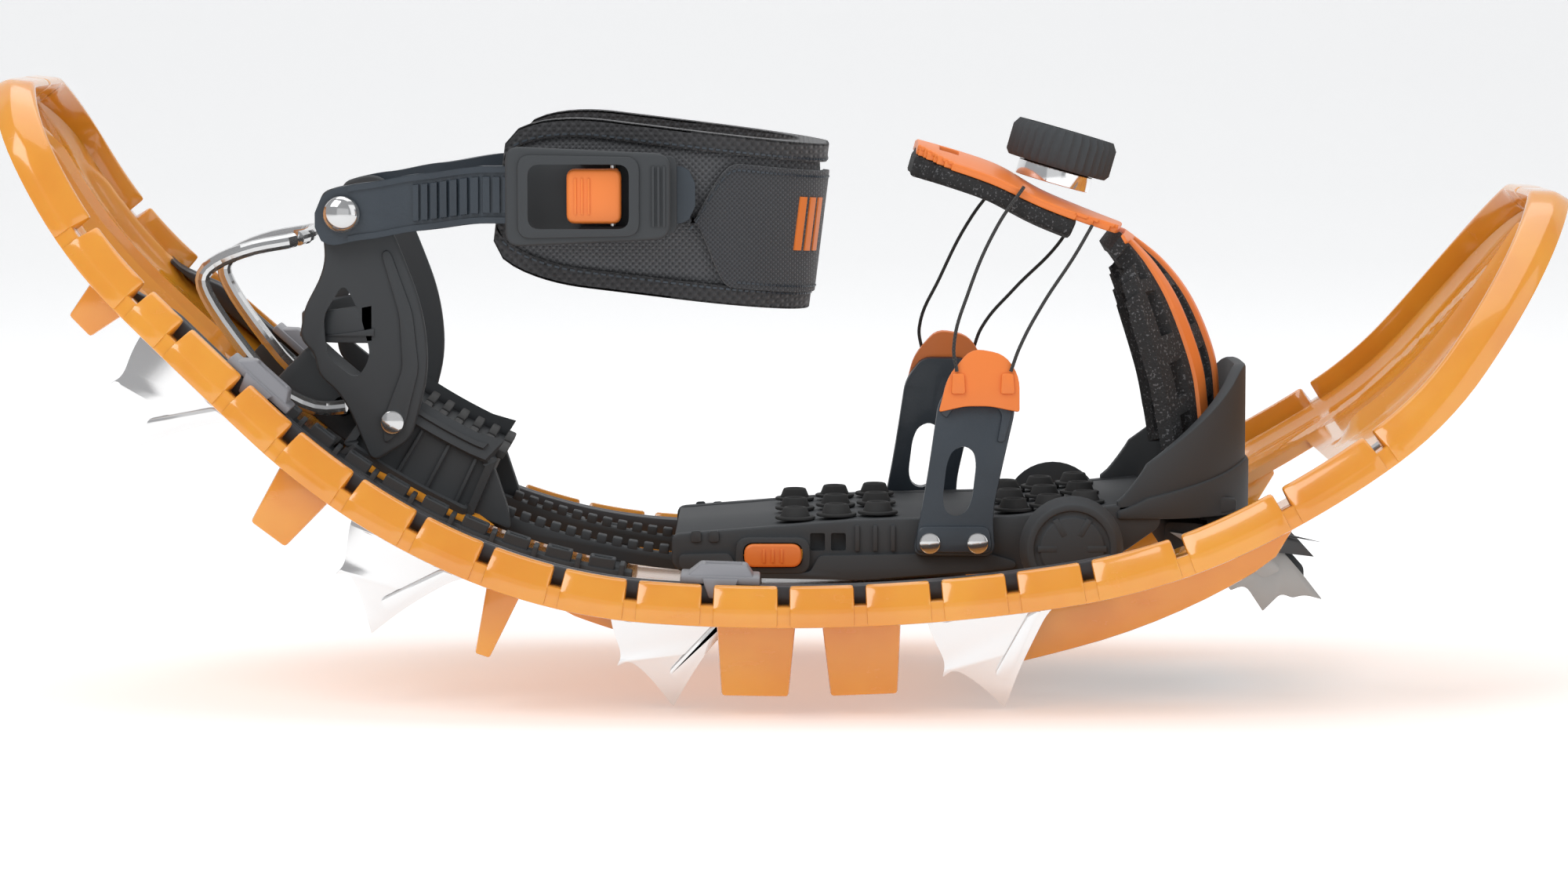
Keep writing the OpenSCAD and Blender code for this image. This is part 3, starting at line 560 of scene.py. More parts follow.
# ---------------------------------------------------------------- the deck line
@dataclass(frozen=True)
class DeckLine:
    """The deck's centre line, flexed into arcs, and its plan outline."""

    width: float = 0.210
    tail_width: float = 0.116
    ride_height: float = 0.040
    start_angle: float = -68.0
    arcs: tuple[tuple[float, float], ...] = (
        (0.040, 8), (0.045, 17), (0.060, 1), (0.080, 20), (0.060, 18), (0.075, 7), (0.060, 6), (0.060, 17),
        (0.050, 8), (0.040, 18), (0.065, 8))
    tail_run: float = 0.300
    nose_run: float = 0.190

    @property
    def length(self) -> float:
        """The whole length along the line."""
        return sum(length for length, _ in self.arcs)

    @property
    def pivot(self) -> float:
        """Arc length at the binding's pivot."""
        return self.arcs[0][0] + 0.3845

    def _raw(self, s: float) -> tuple[float, float, float]:
        """The line's x, z and angle at arc length s, from the tail tip."""
        x = z = 0.0
        angle = self.start_angle
        for i, (length, turn) in enumerate(self.arcs):
            run = s if i == len(self.arcs) - 1 else min(s, length)
            swing = turn * run / length
            radius = length / math.radians(turn)
            a, b = math.radians(angle), math.radians(angle + swing)
            x += radius * (math.sin(b) - math.sin(a))
            z += radius * (math.cos(a) - math.cos(b))
            angle += swing
            s -= run
            if s <= 0:
                break
        return x, z, angle

    def origin(self) -> tuple[float, float]:
        """What moves the raw line to the middle of the shoe and to its ride height."""
        if not hasattr(DeckLine, "_origin"):
            ends = self._raw(0.0)[0], self._raw(self.length)[0]
            low = min(self._raw(0.005 * k)[1] for k in range(int(self.length / 0.005)))
            DeckLine._origin = (sum(ends) / 2, low - self.ride_height)
        return DeckLine._origin

    def place(self, s: float, y: float, up: float) -> Vector:
        """The point at arc length s, y across and up above the line."""
        x, z, angle = self._raw(max(s, 0.0))
        shift = self.origin()
        a = math.radians(angle)
        extra = min(s, 0.0)
        return Vector((x - shift[0] - up * math.sin(a) + extra * math.cos(a), y,
                       z - shift[1] + up * math.cos(a) + extra * math.sin(a)))

    def half(self, s: float) -> float:
        """Half the deck's width at arc length s."""
        wide = 1.0
        if s < self.tail_run:
            share = self.tail_width / self.width
            wide = share + (1 - share) * math.sin(math.pi / 2 * max(s, 0) / self.tail_run)
        if s < 0.028:
            wide *= math.sqrt(1 - 0.7 * (1 - max(s, 0) / 0.028) ** 2)
        ahead = self.length - s
        if ahead < self.nose_run:
            wide *= math.sqrt(1 - 0.93 * (1 - max(ahead, 0) / self.nose_run) ** 2.6)
        return self.width / 2 * wide

    def bend(self, piece: bpy.types.Object) -> bpy.types.Object:
        """Bends a piece that was modelled flat onto the line."""
        shape(piece, lambda p: self.place(p.x, p.y, p.z))
        return piece

    def s_at(self, x: float) -> float:
        """The arc length at which the line passes x."""
        low, high = 0.0, self.length
        for _ in range(30):
            mid = (low + high) / 2
            if self.place(mid, 0, 0).x < x:
                low = mid
            else:
                high = mid
        return (low + high) / 2


LINE = DeckLine()


@dataclass
class Edge:
    """The deck's outline seen from above the flat deck, as a smooth loop with inward normals."""

    line: DeckLine
    points: list[tuple[float, float]] = field(default_factory=list)
    reach: list[float] = field(default_factory=list)

    def __post_init__(self) -> None:
        """Traces the near side from the middle of the tail to the middle of the nose, and rounds it."""
        span = self.line.length
        stations = [span * (0.5 - 0.5 * math.cos(math.pi * k / 240)) for k in range(241)]
        first, last = self.line.half(0.0), self.line.half(span)
        rough = [(0.0, first * k / 12) for k in range(12)] + [(s, self.line.half(s)) for s in stations]
        rough += [(span, last * (11 - k) / 12) for k in range(12)]
        for _ in range(14):
            rough = [rough[0]] + [tuple((a + 2 * b + c) / 4 for a, b, c in zip(*three))
                                  for three in zip(rough, rough[1:], rough[2:])] + [rough[-1]]
        self.points = rough
        self.reach = [0.0]
        for a, b in zip(rough, rough[1:]):
            self.reach.append(self.reach[-1] + math.dist(a, b))

    @property
    def length(self) -> float:
        """Length of the near side's edge."""
        return self.reach[-1]

    def at_station(self, s: float) -> float:
        """Distance along the edge at which it passes deck station s."""
        for i, (a, b) in enumerate(zip(self.points, self.points[1:])):
            if b[0] > s:
                share = max(0.0, (s - a[0]) / (b[0] - a[0]))
                return self.reach[i] + (self.reach[i + 1] - self.reach[i]) * share
        return self.length

    def place(self, t: float, inset: float, up: float) -> Vector:
        """The point at distance t along the near edge, that far in from it and that far up."""
        t = min(max(t, 0.0), self.length)
        low, high = 0, len(self.points) - 2
        while low < high:
            mid = (low + high + 1) // 2
            if self.reach[mid] <= t:
                low = mid
            else:
                high = mid - 1
        a, b = self.points[low], self.points[low + 1]
        share = (t - self.reach[low]) / (self.reach[low + 1] - self.reach[low])
        before, after = self.points[max(low - 1, 0)], self.points[min(low + 2, len(self.points) - 1)]
        way = Vector((b[0] - a[0], b[1] - a[1])).normalized()
        turn_in = Vector((a[0] - before[0], a[1] - before[1])).normalized() if low else Vector((0, 1))
        turn_out = Vector((after[0] - b[0], after[1] - b[1])).normalized() if low < len(self.points) - 2 \
            else Vector((0, -1))
        way = ((turn_in + way) * (1 - share) + (way + turn_out) * share).normalized()
        s = a[0] + (b[0] - a[0]) * share + way.y * inset
        y = a[1] + (b[1] - a[1]) * share - way.x * inset
        return self.line.place(s, -y, up)

    def wrap(self, piece: bpy.types.Object) -> bpy.types.Object:
        """Wraps a piece, modelled with x along the edge and y inwards, around the near edge."""
        shape(piece, lambda p: self.place(p.x, p.y, p.z))
        return piece


EDGE = Edge(LINE)


# ---------------------------------------------------------------- deck
def wave(value: float, centre: float, width: float) -> float:
    """A smooth bump: 1 at the centre, and 0 beyond its width."""
    reach = abs(value - centre) / width
    return (1 - reach * reach) ** 2 if reach < 1 else 0.0


def rise(value: float, start: float, end: float) -> float:
    """A smooth step from 0 at the start to 1 at the end."""
    t = min(max((value - start) / (end - start), 0.0), 1.0)
    return t * t * (3 - 2 * t)


def recess(piece: bpy.types.Object, test: Callable[[Vector, Vector], bool], border: float,
           depth: float) -> None:
    """Sinks a pocket into the faces that pass a test.

    Args:
        piece: The piece to work on.
        test: Takes a face's centre and its normal.
        border: How much of the face is left around the pocket.
        depth: How deep the pocket is; a negative one stands proud.
    """
    select_only(piece)
    bpy.ops.object.mode_set(mode="EDIT")
    bpy.ops.mesh.select_mode(type="FACE")
    bpy.ops.mesh.select_all(action="DESELECT")
    bpy.ops.object.mode_set(mode="OBJECT")
    for face in piece.data.polygons:
        face.select = test(face.center, face.normal)
    bpy.ops.object.mode_set(mode="EDIT")
    bpy.ops.mesh.inset(thickness=border, depth=0.0)
    bpy.ops.mesh.inset(thickness=0.0003, depth=-depth)
    bpy.ops.object.mode_set(mode="OBJECT")


@dataclass
class Deck:
    """The orange moulding: floor, rim, lip blocks, ribs, lugs and keels."""

    line: DeckLine = LINE
    edge: Edge = field(default_factory=lambda: EDGE)
    floor_up: float = -0.006
    skin: float = 0.0035
    band: float = 0.0082
    ledge_up: float = -0.0015
    lip_up: float = 0.005
    lip_down: float = -0.0085
    gap: float = 0.0038
    open_half: float = 0.049
    notches: tuple[float, ...] = (-0.3685, -0.3395, -0.3215, -0.295, -0.272, *(
        -0.2458 + 0.02478 * k for k in range(11)), 0.033, 0.0702, 0.1062)

    def floor_height(self, s: float, y: float) -> float:
        """Height of the floor above the deck line, with its ribs and pockets."""
        half = self.line.half(s)
        inset = half - abs(y)
        end = self.line.length
        up = self.floor_up + 0.0045 * (1 - rise(inset, 0.006, 0.022))
        tail = 1 - rise(s, 0.112, 0.126)
        for rib in (-0.013, 0.013):
            fade = rise(s, 0.012, 0.03) * tail
            up += 0.0052 * fade * max(0.0, 1 - abs(y - rib * (0.75 + s * 2.2)) / 0.0042)
        up += 0.0035 * wave(inset, 0.015, 0.006) * rise(s, 0.03, 0.045) * (1 - rise(s, 0.078, 0.088))
        nose = rise(s, end - 0.112, end - 0.100) * (1 - rise(s, end - 0.016, end - 0.009))
        up += 0.0050 * nose * max(0.0, 1 - abs(y) / 0.0068) ** 0.8
        up += 0.0034 * wave(inset, 0.0150, 0.0060) * rise(s, end - 0.190, end - 0.170) * (
            1 - rise(s, end - 0.150, end - 0.132))
        lens = s - (end - 0.078)
        bow = 0.013 * max(0.0, 1 - (lens / 0.045) ** 2)
        up -= 0.0012 * rise(bow - abs(inset - 0.036), -0.001, 0.001) * (bow > 0)
        up += 0.0010 * wave(abs(y), 0.030, 0.006) * rise(s, 0.19, 0.2) * (1 - rise(s, 0.36, 0.37))
        return up

    def floor(self) -> bpy.types.Object:
        """The floor, with the toe opening and the cut-outs for the hubs."""
        bpy.ops.object.select_all(action="DESELECT")
        bpy.ops.mesh.primitive_grid_add(x_subdivisions=230, y_subdivisions=84, size=2, location=(0, 0, 0))
        piece = bpy.context.object
        piece.name = "deck_floor"
        span = self.line.length

        def lay(p: Vector) -> Point:
            """Lays a point in its place."""
            s = 0.004 + (span - 0.008) * (p.x + 1) / 2
            return s, p.y * (self.line.half(s) - 0.0045), 0.0

        shape(piece, lay)
        ahead = self.line.s_at(PIVOT.x + 0.086) + 0.0002
        behind = self.line.s_at(PIVOT.x - 0.034)
        bpy.ops.object.mode_set(mode="EDIT")
        for spot, way in (((behind, 0, 0), (1, 0, 0)), ((ahead, 0, 0), (1, 0, 0)),
                          ((0, self.open_half, 0), (0, 1, 0)), ((0, -self.open_half, 0), (0, 1, 0))):
            bpy.ops.mesh.select_all(action="SELECT")
            bpy.ops.mesh.bisect(plane_co=spot, plane_no=way)
        bpy.ops.mesh.select_mode(type="FACE")
        bpy.ops.mesh.select_all(action="DESELECT")
        bpy.ops.object.mode_set(mode="OBJECT")
        hub = self.line.pivot
        for face in piece.data.polygons:
            s, y = face.center.x, abs(face.center.y)
            face.select = (behind < s < ahead and y < self.open_half) or (
                abs(s - hub) < 0.0135 and 0.0552 < y < 0.0635)
        bpy.ops.object.mode_set(mode="EDIT")
        bpy.ops.mesh.delete(type="FACE")
        bpy.ops.object.mode_set(mode="OBJECT")
        shape(piece, lambda p: (p.x, p.y, self.floor_height(p.x, p.y)))
        outward(piece)
        if sum(face.normal.z for face in piece.data.polygons) < 0:
            piece.data.flip_normals()
        modify(piece, "SOLIDIFY", thickness=self.skin, offset=-1)
        return self.line.bend(piece)

    def rim(self) -> bpy.types.Object:
        """The low band all round the deck that the lip blocks stand on."""
        turns, sides = 256, 12
        bpy.ops.object.select_all(action="DESELECT")
        bpy.ops.mesh.primitive_torus_add(major_segments=turns, minor_segments=sides, major_radius=1,
                                         minor_radius=0.2)
        piece = bpy.context.object
        piece.name = "deck_rim"
        section = rounded([(0.0007, self.lip_down), (self.band, self.lip_down), (self.band, self.ledge_up),
                           (0.0007, self.ledge_up)], 0.0009, 2)
        whole = 2 * self.edge.length

        def lay(index: int) -> Vector:
            """Lays a point in its place."""
            t = whole * (index // sides) / turns
            inset, up = section[index % sides]
            if t <= self.edge.length:
                return self.edge.place(t, inset, up)
            spot = self.edge.place(whole - t, inset, up)
            return Vector((spot.x, -spot.y, spot.z))

        for index, vertex in enumerate(piece.data.vertices):
            vertex.co = lay(index)
        outward(piece)
        return piece

    def lip_block(self, start: float, end: float, number: int) -> bpy.types.Object:
        """One block of the lip, between two distances along the edge."""
        cuts = max(2, int((end - start) / 0.004))
        piece = block(f"lip_{number}", (start, 0.0, self.lip_down), (end, self.band + 0.0004, self.lip_up),
                      0.0, 0)
        low, top, width = self.lip_down, self.lip_up, self.band + 0.0004

        def facet(p: Vector) -> Point:
            """Shapes a block's section."""
            inner = p.y > width / 2
            if p.z > 0:
                return p.x, width - 0.0022 if inner else 0.0040, top - (0.0 if inner else 0.0003)
            return p.x, p.y, self.floor_up if inner else low

        shape(piece, facet)
        bpy.ops.object.mode_set(mode="EDIT")
        bpy.ops.mesh.select_all(action="SELECT")
        bpy.ops.mesh.bisect(plane_co=(0, 0, -0.0026), plane_no=(0, 0, 1))
        bpy.ops.object.mode_set(mode="OBJECT")
        for vertex in piece.data.vertices:
            if abs(vertex.co.z + 0.0026) < 1e-5:
                vertex.co.y = 0.0 if vertex.co.y < width / 2 else width
        bevel(piece, 0.0010, 2, 15)
        bpy.ops.object.mode_set(mode="EDIT")
        for step in range(1, cuts):
            bpy.ops.mesh.select_all(action="SELECT")
            bpy.ops.mesh.bisect(plane_co=(start + (end - start) * step / cuts, 0, 0), plane_no=(1, 0, 0))
        bpy.ops.object.mode_set(mode="OBJECT")
        return self.edge.wrap(piece)

    def lips(self) -> list[bpy.types.Object]:
        """All lip blocks of both sides."""
        marks = [self.edge.at_station(self.line.pivot + n) for n in self.notches]
        starts = [0.0002] + [m + self.gap / 2 for m in marks]
        ends = [m - self.gap / 2 for m in marks] + [self.edge.length - 0.0002]
        near = [self.lip_block(a, b, k) for k, (a, b) in enumerate(zip(starts, ends))]
        return near + [mirrored(piece, f"{piece.name}_far") for piece in near]

    def lug(self, s: float, y: float, depth: float, top: float, foot: float, width: float) -> bpy.types.Object:
        """A tapered lug under the deck, with a pocket in its outer face."""
        under = self.floor_up - self.skin + 0.001
        piece = block("lug", (-top / 2, -width / 2, -depth), (top / 2, width / 2, under))
        foot_share, thin = foot / top, 0.7
        shape(piece, lambda p: p if p.z > under - 1e-5 else (p.x * foot_share, p.y * thin, p.z))
        recess(piece, lambda c, n: n.y < -0.8, min(top, width) * 0.2, 0.0022)
        bevel(piece, 0.0011, 2, 40)
        piece.data.transform(self.line_frame(s, y))
        return piece

    def line_frame(self, s: float, y: float) -> Matrix:
        """The placing matrix of a local frame on the deck line."""
        here, above, beside = self.line.place(s, y, 0), self.line.place(s, y, 1), self.line.place(s, y + 1, 0)
        up = above - here
        across = beside - here
        along = across.cross(up)
        turned = Matrix((along, across, up)).transposed().to_4x4()
        return Matrix.Translation(here) @ turned

    def keel(self, start: float, end: float, depth0: float, depth1: float) -> bpy.types.Object:
        """A smooth wall under the deck beside the toe opening."""
        middle = 0.053
        piece = block("keel", (start, middle - 0.0024, -1.0), (end, middle + 0.0024, self.floor_up - 0.002),
                      0.0, 14)

        def hang(p: Vector) -> Point:
            """Lets the wall's foot hang down."""
            share = (p.x - start) / (end - start)
            foot = -(depth0 + (depth1 - depth0) * share) * (0.55 + 0.45 * min(1.0, share * 7, (1 - share) * 7))
            return p.x, p.y, foot if p.z < -0.5 else p.z

        shape(piece, hang)
        bevel(piece, 0.0009, 2, 40)
        return self.line.bend(piece)

    def upright(self) -> bpy.types.Object:
        """The wall that carries a pivot pin, with a stepped top."""
        outline = rounded([(-0.016, -0.0075), (0.016, -0.0075), (0.014, 0.006), (0.008, 0.0113),
                           (-0.008, 0.0113), (-0.014, 0.006)], 0.004)
        piece = plate("upright", outline, 0.0506, 0.0554, 0.0007)
        piece.data.transform(self.line_frame(self.line.pivot, 0.0))
        return piece

    def build(self) -> None:
        """Models the moulding and dresses it."""
        p = self.line.pivot
        under = [self.lug(*sizes) for sizes in (
            (0.078, 0.048, 0.024, 0.016, 0.010, 0.010), (p - 0.258, 0.076, 0.030, 0.020, 0.014, 0.014),
            (p - 0.187, 0.078, 0.033, 0.012, 0.005, 0.008), (p - 0.106, 0.076, 0.034, 0.026, 0.022, 0.020),
            (p - 0.072, 0.076, 0.034, 0.026, 0.022, 0.020))]
        under += [self.keel(p - 0.175, p - 0.120, 0.014, 0.024), self.keel(p - 0.045, p + 0.078, 0.034, 0.020)]
        wall = self.upright()
        under += [mirrored(piece, f"{piece.name}_near") for piece in under]
        walls = joined("pivot_uprights", [wall, mirrored(wall, "upright_near")])
        dress(joined("deck_tray", [self.floor(), self.rim()]), ORANGE, Body.DECK, (
            "deck_tail", "deck_heel", "deck_toe", "deck_nose", "end_lips"), 30)
        dress(joined("lip_blocks", self.lips()), ORANGE, Body.DECK, ("lip_right", "lip_left"), 32)
        dress(joined("deck_under", under), ORANGE, Body.DECK, ("deck_lugs",))
        dress(walls, ORANGE, Body.DECK, ("pivot_walls",))
        self.fit_out()

    def fit_out(self) -> None:
        """Adds the rods, the tail frame, the heel rest and the clips."""
        Rods().build()
        TailFrame().build()
        Clips().build()


@dataclass
class Rods:
    """The twin black stiffening strips that lie just inside each lip."""

    start: float = 0.075
    inset: float = 0.0095
    width: float = 0.0037
    low: float = -0.0021
    high: float = 0.0041

    def strip(self, inset: float, name: str) -> bpy.types.Object:
        """One strip, wrapped along the near edge."""
        t0, t1 = EDGE.at_station(self.start), EDGE.at_station(LINE.pivot + 0.025)
        piece = block(name, (t0, inset, self.low), (t1, inset + self.width, self.high), 0.0011, 100)
        shape(piece, lambda p: (p.x, p.y, p.z if t0 + 0.02 < p.x < t1 - 0.015 else self.low + (
            p.z - self.low) * max(0.25, min(1.0, (p.x - t0) / 0.02, (t1 - p.x) / 0.015))))
        return EDGE.wrap(piece)

    def build(self) -> None:
        """Models both pairs and dresses them."""
        near = joined("rod_pair_near", [self.strip(self.inset, "strip_a"),
                                        self.strip(self.inset + self.width + 0.0006, "strip_b")])
        far = mirrored(near, "rod_pair_far")
        dress(near, ROD, Body.DECK, ("rod_right",))
        dress(far, ROD, Body.DECK, ("rod_left",))


@dataclass
class TailFrame:
    """The black frame in the tail with a row of sockets on each side, and the orange heel rest."""

    floor: float = -0.0059
    start: float = LINE.pivot - 0.302
    end: float = LINE.pivot - 0.148
    low_y: float = 0.043
    high_y: float = 0.053
    pitch: float = 0.015

    def build(self) -> None:
        """Models one side and its mirror image, the crossbars and the rest."""
        side = block("frame_side", (self.start, self.low_y, self.floor), (self.end, self.high_y, 0.0012), 0.0, 44)
        bevel(side, 0.0006, 2, 60)
        parts = [side]
        for k in range(10):
            s = self.start + 0.004 + self.pitch * k
            cup = block(f"socket_{k}", (s, self.low_y + 0.0008, 0.0005),
                        (s + 0.009, self.high_y - 0.0008, 0.0046))
            recess(cup, lambda c, n: n.z > 0.9, 0.0015, 0.0034)
            bevel(cup, 0.0004, 1, 50)
            parts.append(cup)
            web = block(f"web_{k}", (s + 0.0105, self.low_y - 0.001, self.floor),
                        (s + 0.0123, self.high_y + 0.0014, 0.0034), 0.0004)
            parts.append(web)
        near = joined("frame_near", parts)
        far = mirrored(near, "frame_far")
        bars = []
        for s in (self.start + 0.037, self.end - 0.011):
            bar = block("crossbar", (s, -self.low_y, self.floor), (s + 0.008, self.low_y, -0.0030), 0.0006)
            recess(bar, lambda c, n: n.z > 0.9, 0.0018, 0.0015)
            bars.append(bar)
        frame_piece = LINE.bend(joined("tail_frame", [near, far, *bars]))
        dress(frame_piece, BLACK, Body.DECK, ("tail_subframe",))
        self.rest()

    def rest(self) -> None:
        """The orange rest below the heel block, with a pocket and side cheeks."""
        start, end = LINE.pivot - 0.2545, LINE.pivot - 0.1995
        base = block("rest", (start, -0.036, self.floor), (end, 0.036, 0.0007), 0.0, 9)
        bevel(base, 0.0012, 2, 60)
        recess(base, lambda c, n: n.z > 0.9 and abs(c.x - (start + end) / 2) < 0.016, 0.009, 0.004)
        cheeks = [block("cheek", (start + 0.004, y, -0.001), (end - 0.004, y + 0.003, 0.0024), 0.0008, 4)
                  for y in (-0.036, 0.033)]
        ribs = [block("rest_rib", (start + 0.006 + 0.014 * k, -0.030, 0.0), (start + 0.008 + 0.014 * k, 0.030, 0.0019),
                      0.0005) for k in range(4)]
        dress(LINE.bend(joined("heel_rest_pad", [base, *cheeks, *ribs])), ORANGE, Body.DECK, ("heel_rest",))


@dataclass
class Clips:
    """The grey faceted clips that hold the rods at both ends."""

    places: tuple[float, float] = (LINE.pivot - 0.290, LINE.pivot - 0.118)
    up: float = 0.0044

    def clip(self, s: float) -> bpy.types.Object:
        """One clip: a foot, a faceted crown with a slot, and two ears over the rods."""
        base = block("clip_foot", (-0.013, -0.009, 0), (0.013, 0.009, 0.0026))
        crown = block("clip_crown", (-0.011, -0.0075, 0.0022), (0.011, 0.0075, 0.0062))
        shape(crown, lambda p: p if p.z < 0.004 else (p.x * 0.68 + 0.001, p.y * 0.62, p.z))
        recess(crown, lambda c, n: n.z > 0.9, 0.0016, 0.0028)
        ear = block("clip_ear", (-0.006, -0.0105, -0.0045), (0.006, -0.0078, 0.002))
        shape(ear, lambda p: p if p.z > 0 else (p.x * 0.6, p.y, p.z))
        piece = joined("clip", [base, crown, ear])
        bevel(piece, 0.0007, 2, 30)
        piece.data.transform(Deck().line_frame(s, -(LINE.half(s) - 0.0185)))
        lift = LINE.place(s, 0, self.up) - LINE.place(s, 0, 0)
        piece.data.transform(Matrix.Translation(lift))
        return piece

    def build(self) -> None:
        """Models both pairs and dresses them."""
        for s, node in zip(self.places, ("rear_clips", "front_clips")):
            near = self.clip(s)
            dress(joined(node.replace("clips", "clip_pair"), [near, mirrored(near, "clip_far")]), GREY, Body.DECK,
                  (node,))


PIVOT = LINE.place(LINE.pivot, 0.0, 0.0045)


# ---------------------------------------------------------------- steel under the deck
@dataclass
class Blades:
    """The eight bright blades: a hook behind, a fin with a pressed rib, and a flange with two screws."""

    stations: tuple[float, ...] = tuple(LINE.pivot + d for d in (-0.307, -0.2175, -0.1305, -0.0275))
    sides: tuple[float, ...] = (0.052, 0.062, 0.064, 0.066)
    depth: float = 0.043
    thick: float = 0.0025
    tip: float = -0.001
    top: float = -0.0096

    def depth_at(self, number: int) -> float:
        """How far the blade's tip is below the deck line."""
        if number < 2:
            return self.depth
        s = self.stations[number]
        here, above = LINE.place(s, 0, 0), LINE.place(s, 0, 1)
        up = above - here
        return (here.z + self.tip * -up.x) / up.z

    def outline(self, d: float) -> list[tuple[float, float]]:
        """The blade's side outline with a curved hook and a convex front edge."""
        corners = [(-0.024, self.top), (-0.0225, -0.4 * d), (-0.019, -0.6 * d), (-0.0205, -d + 0.0125),
                   (-0.0165, -d + 0.0148), (-0.0120, -d + 0.0118), (-0.0075, -d + 0.0075), (self.tip, -d),
                   (0.0050, -d + 0.0122), (0.0115, -d + 0.0225), (0.0168, min(-d + 0.0315, self.top - 0.004)),
                   (0.024, self.top)]
        radii = [0.0005, 0.006, 0.004, 0.0005, 0.003, 0.004, 0.0035, 0.0004, 0.006, 0.008, 0.005, 0.0005]
        return rounded(corners, radii, 6)

    def blade(self, number: int) -> bpy.types.Object:
        """One near-side blade with its flange, pressed rib and gusset."""
        d = self.depth_at(number)
        fin = plate("fin", self.outline(d), -self.thick / 2, self.thick / 2, 0.00045)
        rib = plate("rib", rounded([(-0.0035, -d + 0.0115), (0.0005, -d + 0.0085), (0.0125, -d + 0.0290),
                                    (0.0150, self.top - 0.0035), (0.0105, self.top - 0.0035)], 0.002, 4),
                    -self.thick / 2 - 0.0011, -self.thick / 2 + 0.0004, 0.0009, 3)
        flange = block("flange", (-0.024, -0.0002, self.top - self.thick), (0.014, 0.008, self.top), 0.0006)
        gusset = plate("gusset", rounded([(-0.003, self.top - 0.002), (0.003, self.top - 0.002),
                                          (0.0, self.top - 0.010)], 0.0008), 0.001, 0.0034, 0.0004)
        piece = joined(f"blade_fin_{number + 1}", [fin, rib, flange, gusset])
        piece.data.transform(Deck().line_frame(self.stations[number], -self.sides[number]))
        return piece

    def screws(self) -> bpy.types.Object:
        """The pan heads below the flanges, with a socket each."""
        heads = []
        for s, side in zip(self.stations, self.sides):
            for x in (-0.017, 0.008):
                place = Deck().line_frame(s, -side + 0.0047) @ Matrix.Translation((x, 0, -0.0142))
                head = disc("screw", 0.0025, 0.002, Matrix.Identity(4), 16, 0.0005)
                recess(head, lambda c, n: n.z < -0.9, 0.0009, 0.0009)
                head.data.transform(place)
                heads += [head, mirrored(head, "screw_far")]
        return joined("flange_screws", heads)

    def build(self) -> None:
        """Models all blades and dresses them."""
        for number in range(4):
            near = self.blade(number)
            far = mirrored(near, f"{near.name}_far")
            dress(joined(f"fin_pair_{number + 1}", [near, far]), BLADE, Body.DECK, (f"blade_pair_{number + 1}",), 25)
        dress(self.screws(), WIRE, Body.DECK, ("blade_screws",))


@dataclass
class Nose:
    """The printed grey panel in the nose, with two orange bars on it."""

    start: float = LINE.pivot + 0.104
    run: float = 0.064

    def panel(self, grow: float, low: float, high: float, name: str) -> bpy.types.Object:
        """A lens that follows the deck's near edge."""
        piece = block(name, (0, -1, 0), (1, 1, 1), 0.0, 20)

        def lens(p: Vector) -> Point:
            s = self.start + self.run * (0.5 + (p.x - 0.5) * (1 + grow * 18))
            bow = math.sin(math.pi * min(max(p.x, 0.03), 0.97)) ** 0.7
            y = -LINE.half(s) + 0.038 + p.y * (0.0015 + 0.0085 * bow + grow)
            return s, y, low if p.z < 0.5 else high

        shape(piece, lens)
        bevel(piece, 0.0004, 1, 60)
        return LINE.bend(piece)

    def build(self) -> None:
        """Models and dresses the panel."""
        dress(self.panel(0.0, -0.0062, -0.0046, "nose_print"), PANEL, Body.DECK, ("nose_panel",))
        bars = [block("bar", (self.start + 0.022 + k * 0.012, -0.0420, -0.0047),
                      (self.start + 0.029 + k * 0.012, -0.0395, -0.0042), 0.0001) for k in range(2)]
        for bar in bars:
            shape(bar, lambda p: (p.x, p.y - (LINE.half(p.x) - 0.038) + 0.0408, p.z))
            LINE.bend(bar)
        dress(joined("nose_bars", bars), TRIM, Body.DECK)


@dataclass
class Hubs:
    """The black faceted domes over the ends of the pivot pins."""

    inner: float = 0.0561
    outer: float = 0.062
    radius: float = 0.0175

    def dome(self) -> bpy.types.Object:
        """One near-side dome: a drum with stepped facets and a shallow dish."""
        turn = Matrix.Translation((PIVOT.x, -self.inner, PIVOT.z)) @ Matrix.Rotation(math.pi / 2, 4, "X")
        drum = disc("hub", self.radius, self.outer - self.inner, Matrix.Identity(4), 40)
        shape(drum, lambda p: p if p.z < 0.001 else (p.x * 0.86, p.y * 0.86, p.z))
        recess(drum, lambda c, n: n.z > 0.9, 0.0022, 0.0012)
        recess(drum, lambda c, n: n.z > 0.9 and math.hypot(c.x, c.y) < 0.004, 0.0016, -0.0008)
        bevel(drum, 0.0006, 2, 30)
        studs = []
        for k in range(6):
            stud = block("hub_rib", (0.0050, -0.0011, self.outer - self.inner - 0.0016),
                         (0.0115, 0.0011, self.outer - self.inner - 0.0002), 0.0004)
            stud.data.transform(Matrix.Rotation(k * math.pi / 3, 4, "Z"))
            studs.append(stud)
        piece = joined("hub_dome", [drum, *studs])
        piece.data.transform(turn)
        return piece

    def build(self) -> None:
        """Models both domes and dresses them."""
        near = self.dome()
        dress(joined("hub_domes", [near, mirrored(near, "hub_far")]), BLACK, Body.DECK, ("hub_caps",))


# ---------------------------------------------------------------- binding
def from_pivot(points: Iterable[Point]) -> list[tuple[float, float]]:
    """Side-view points in millimetres from the pivot, as X and Z in metres."""
    return [(PIVOT.x + x * MM, PIVOT.z + z * MM) for x, z in points]


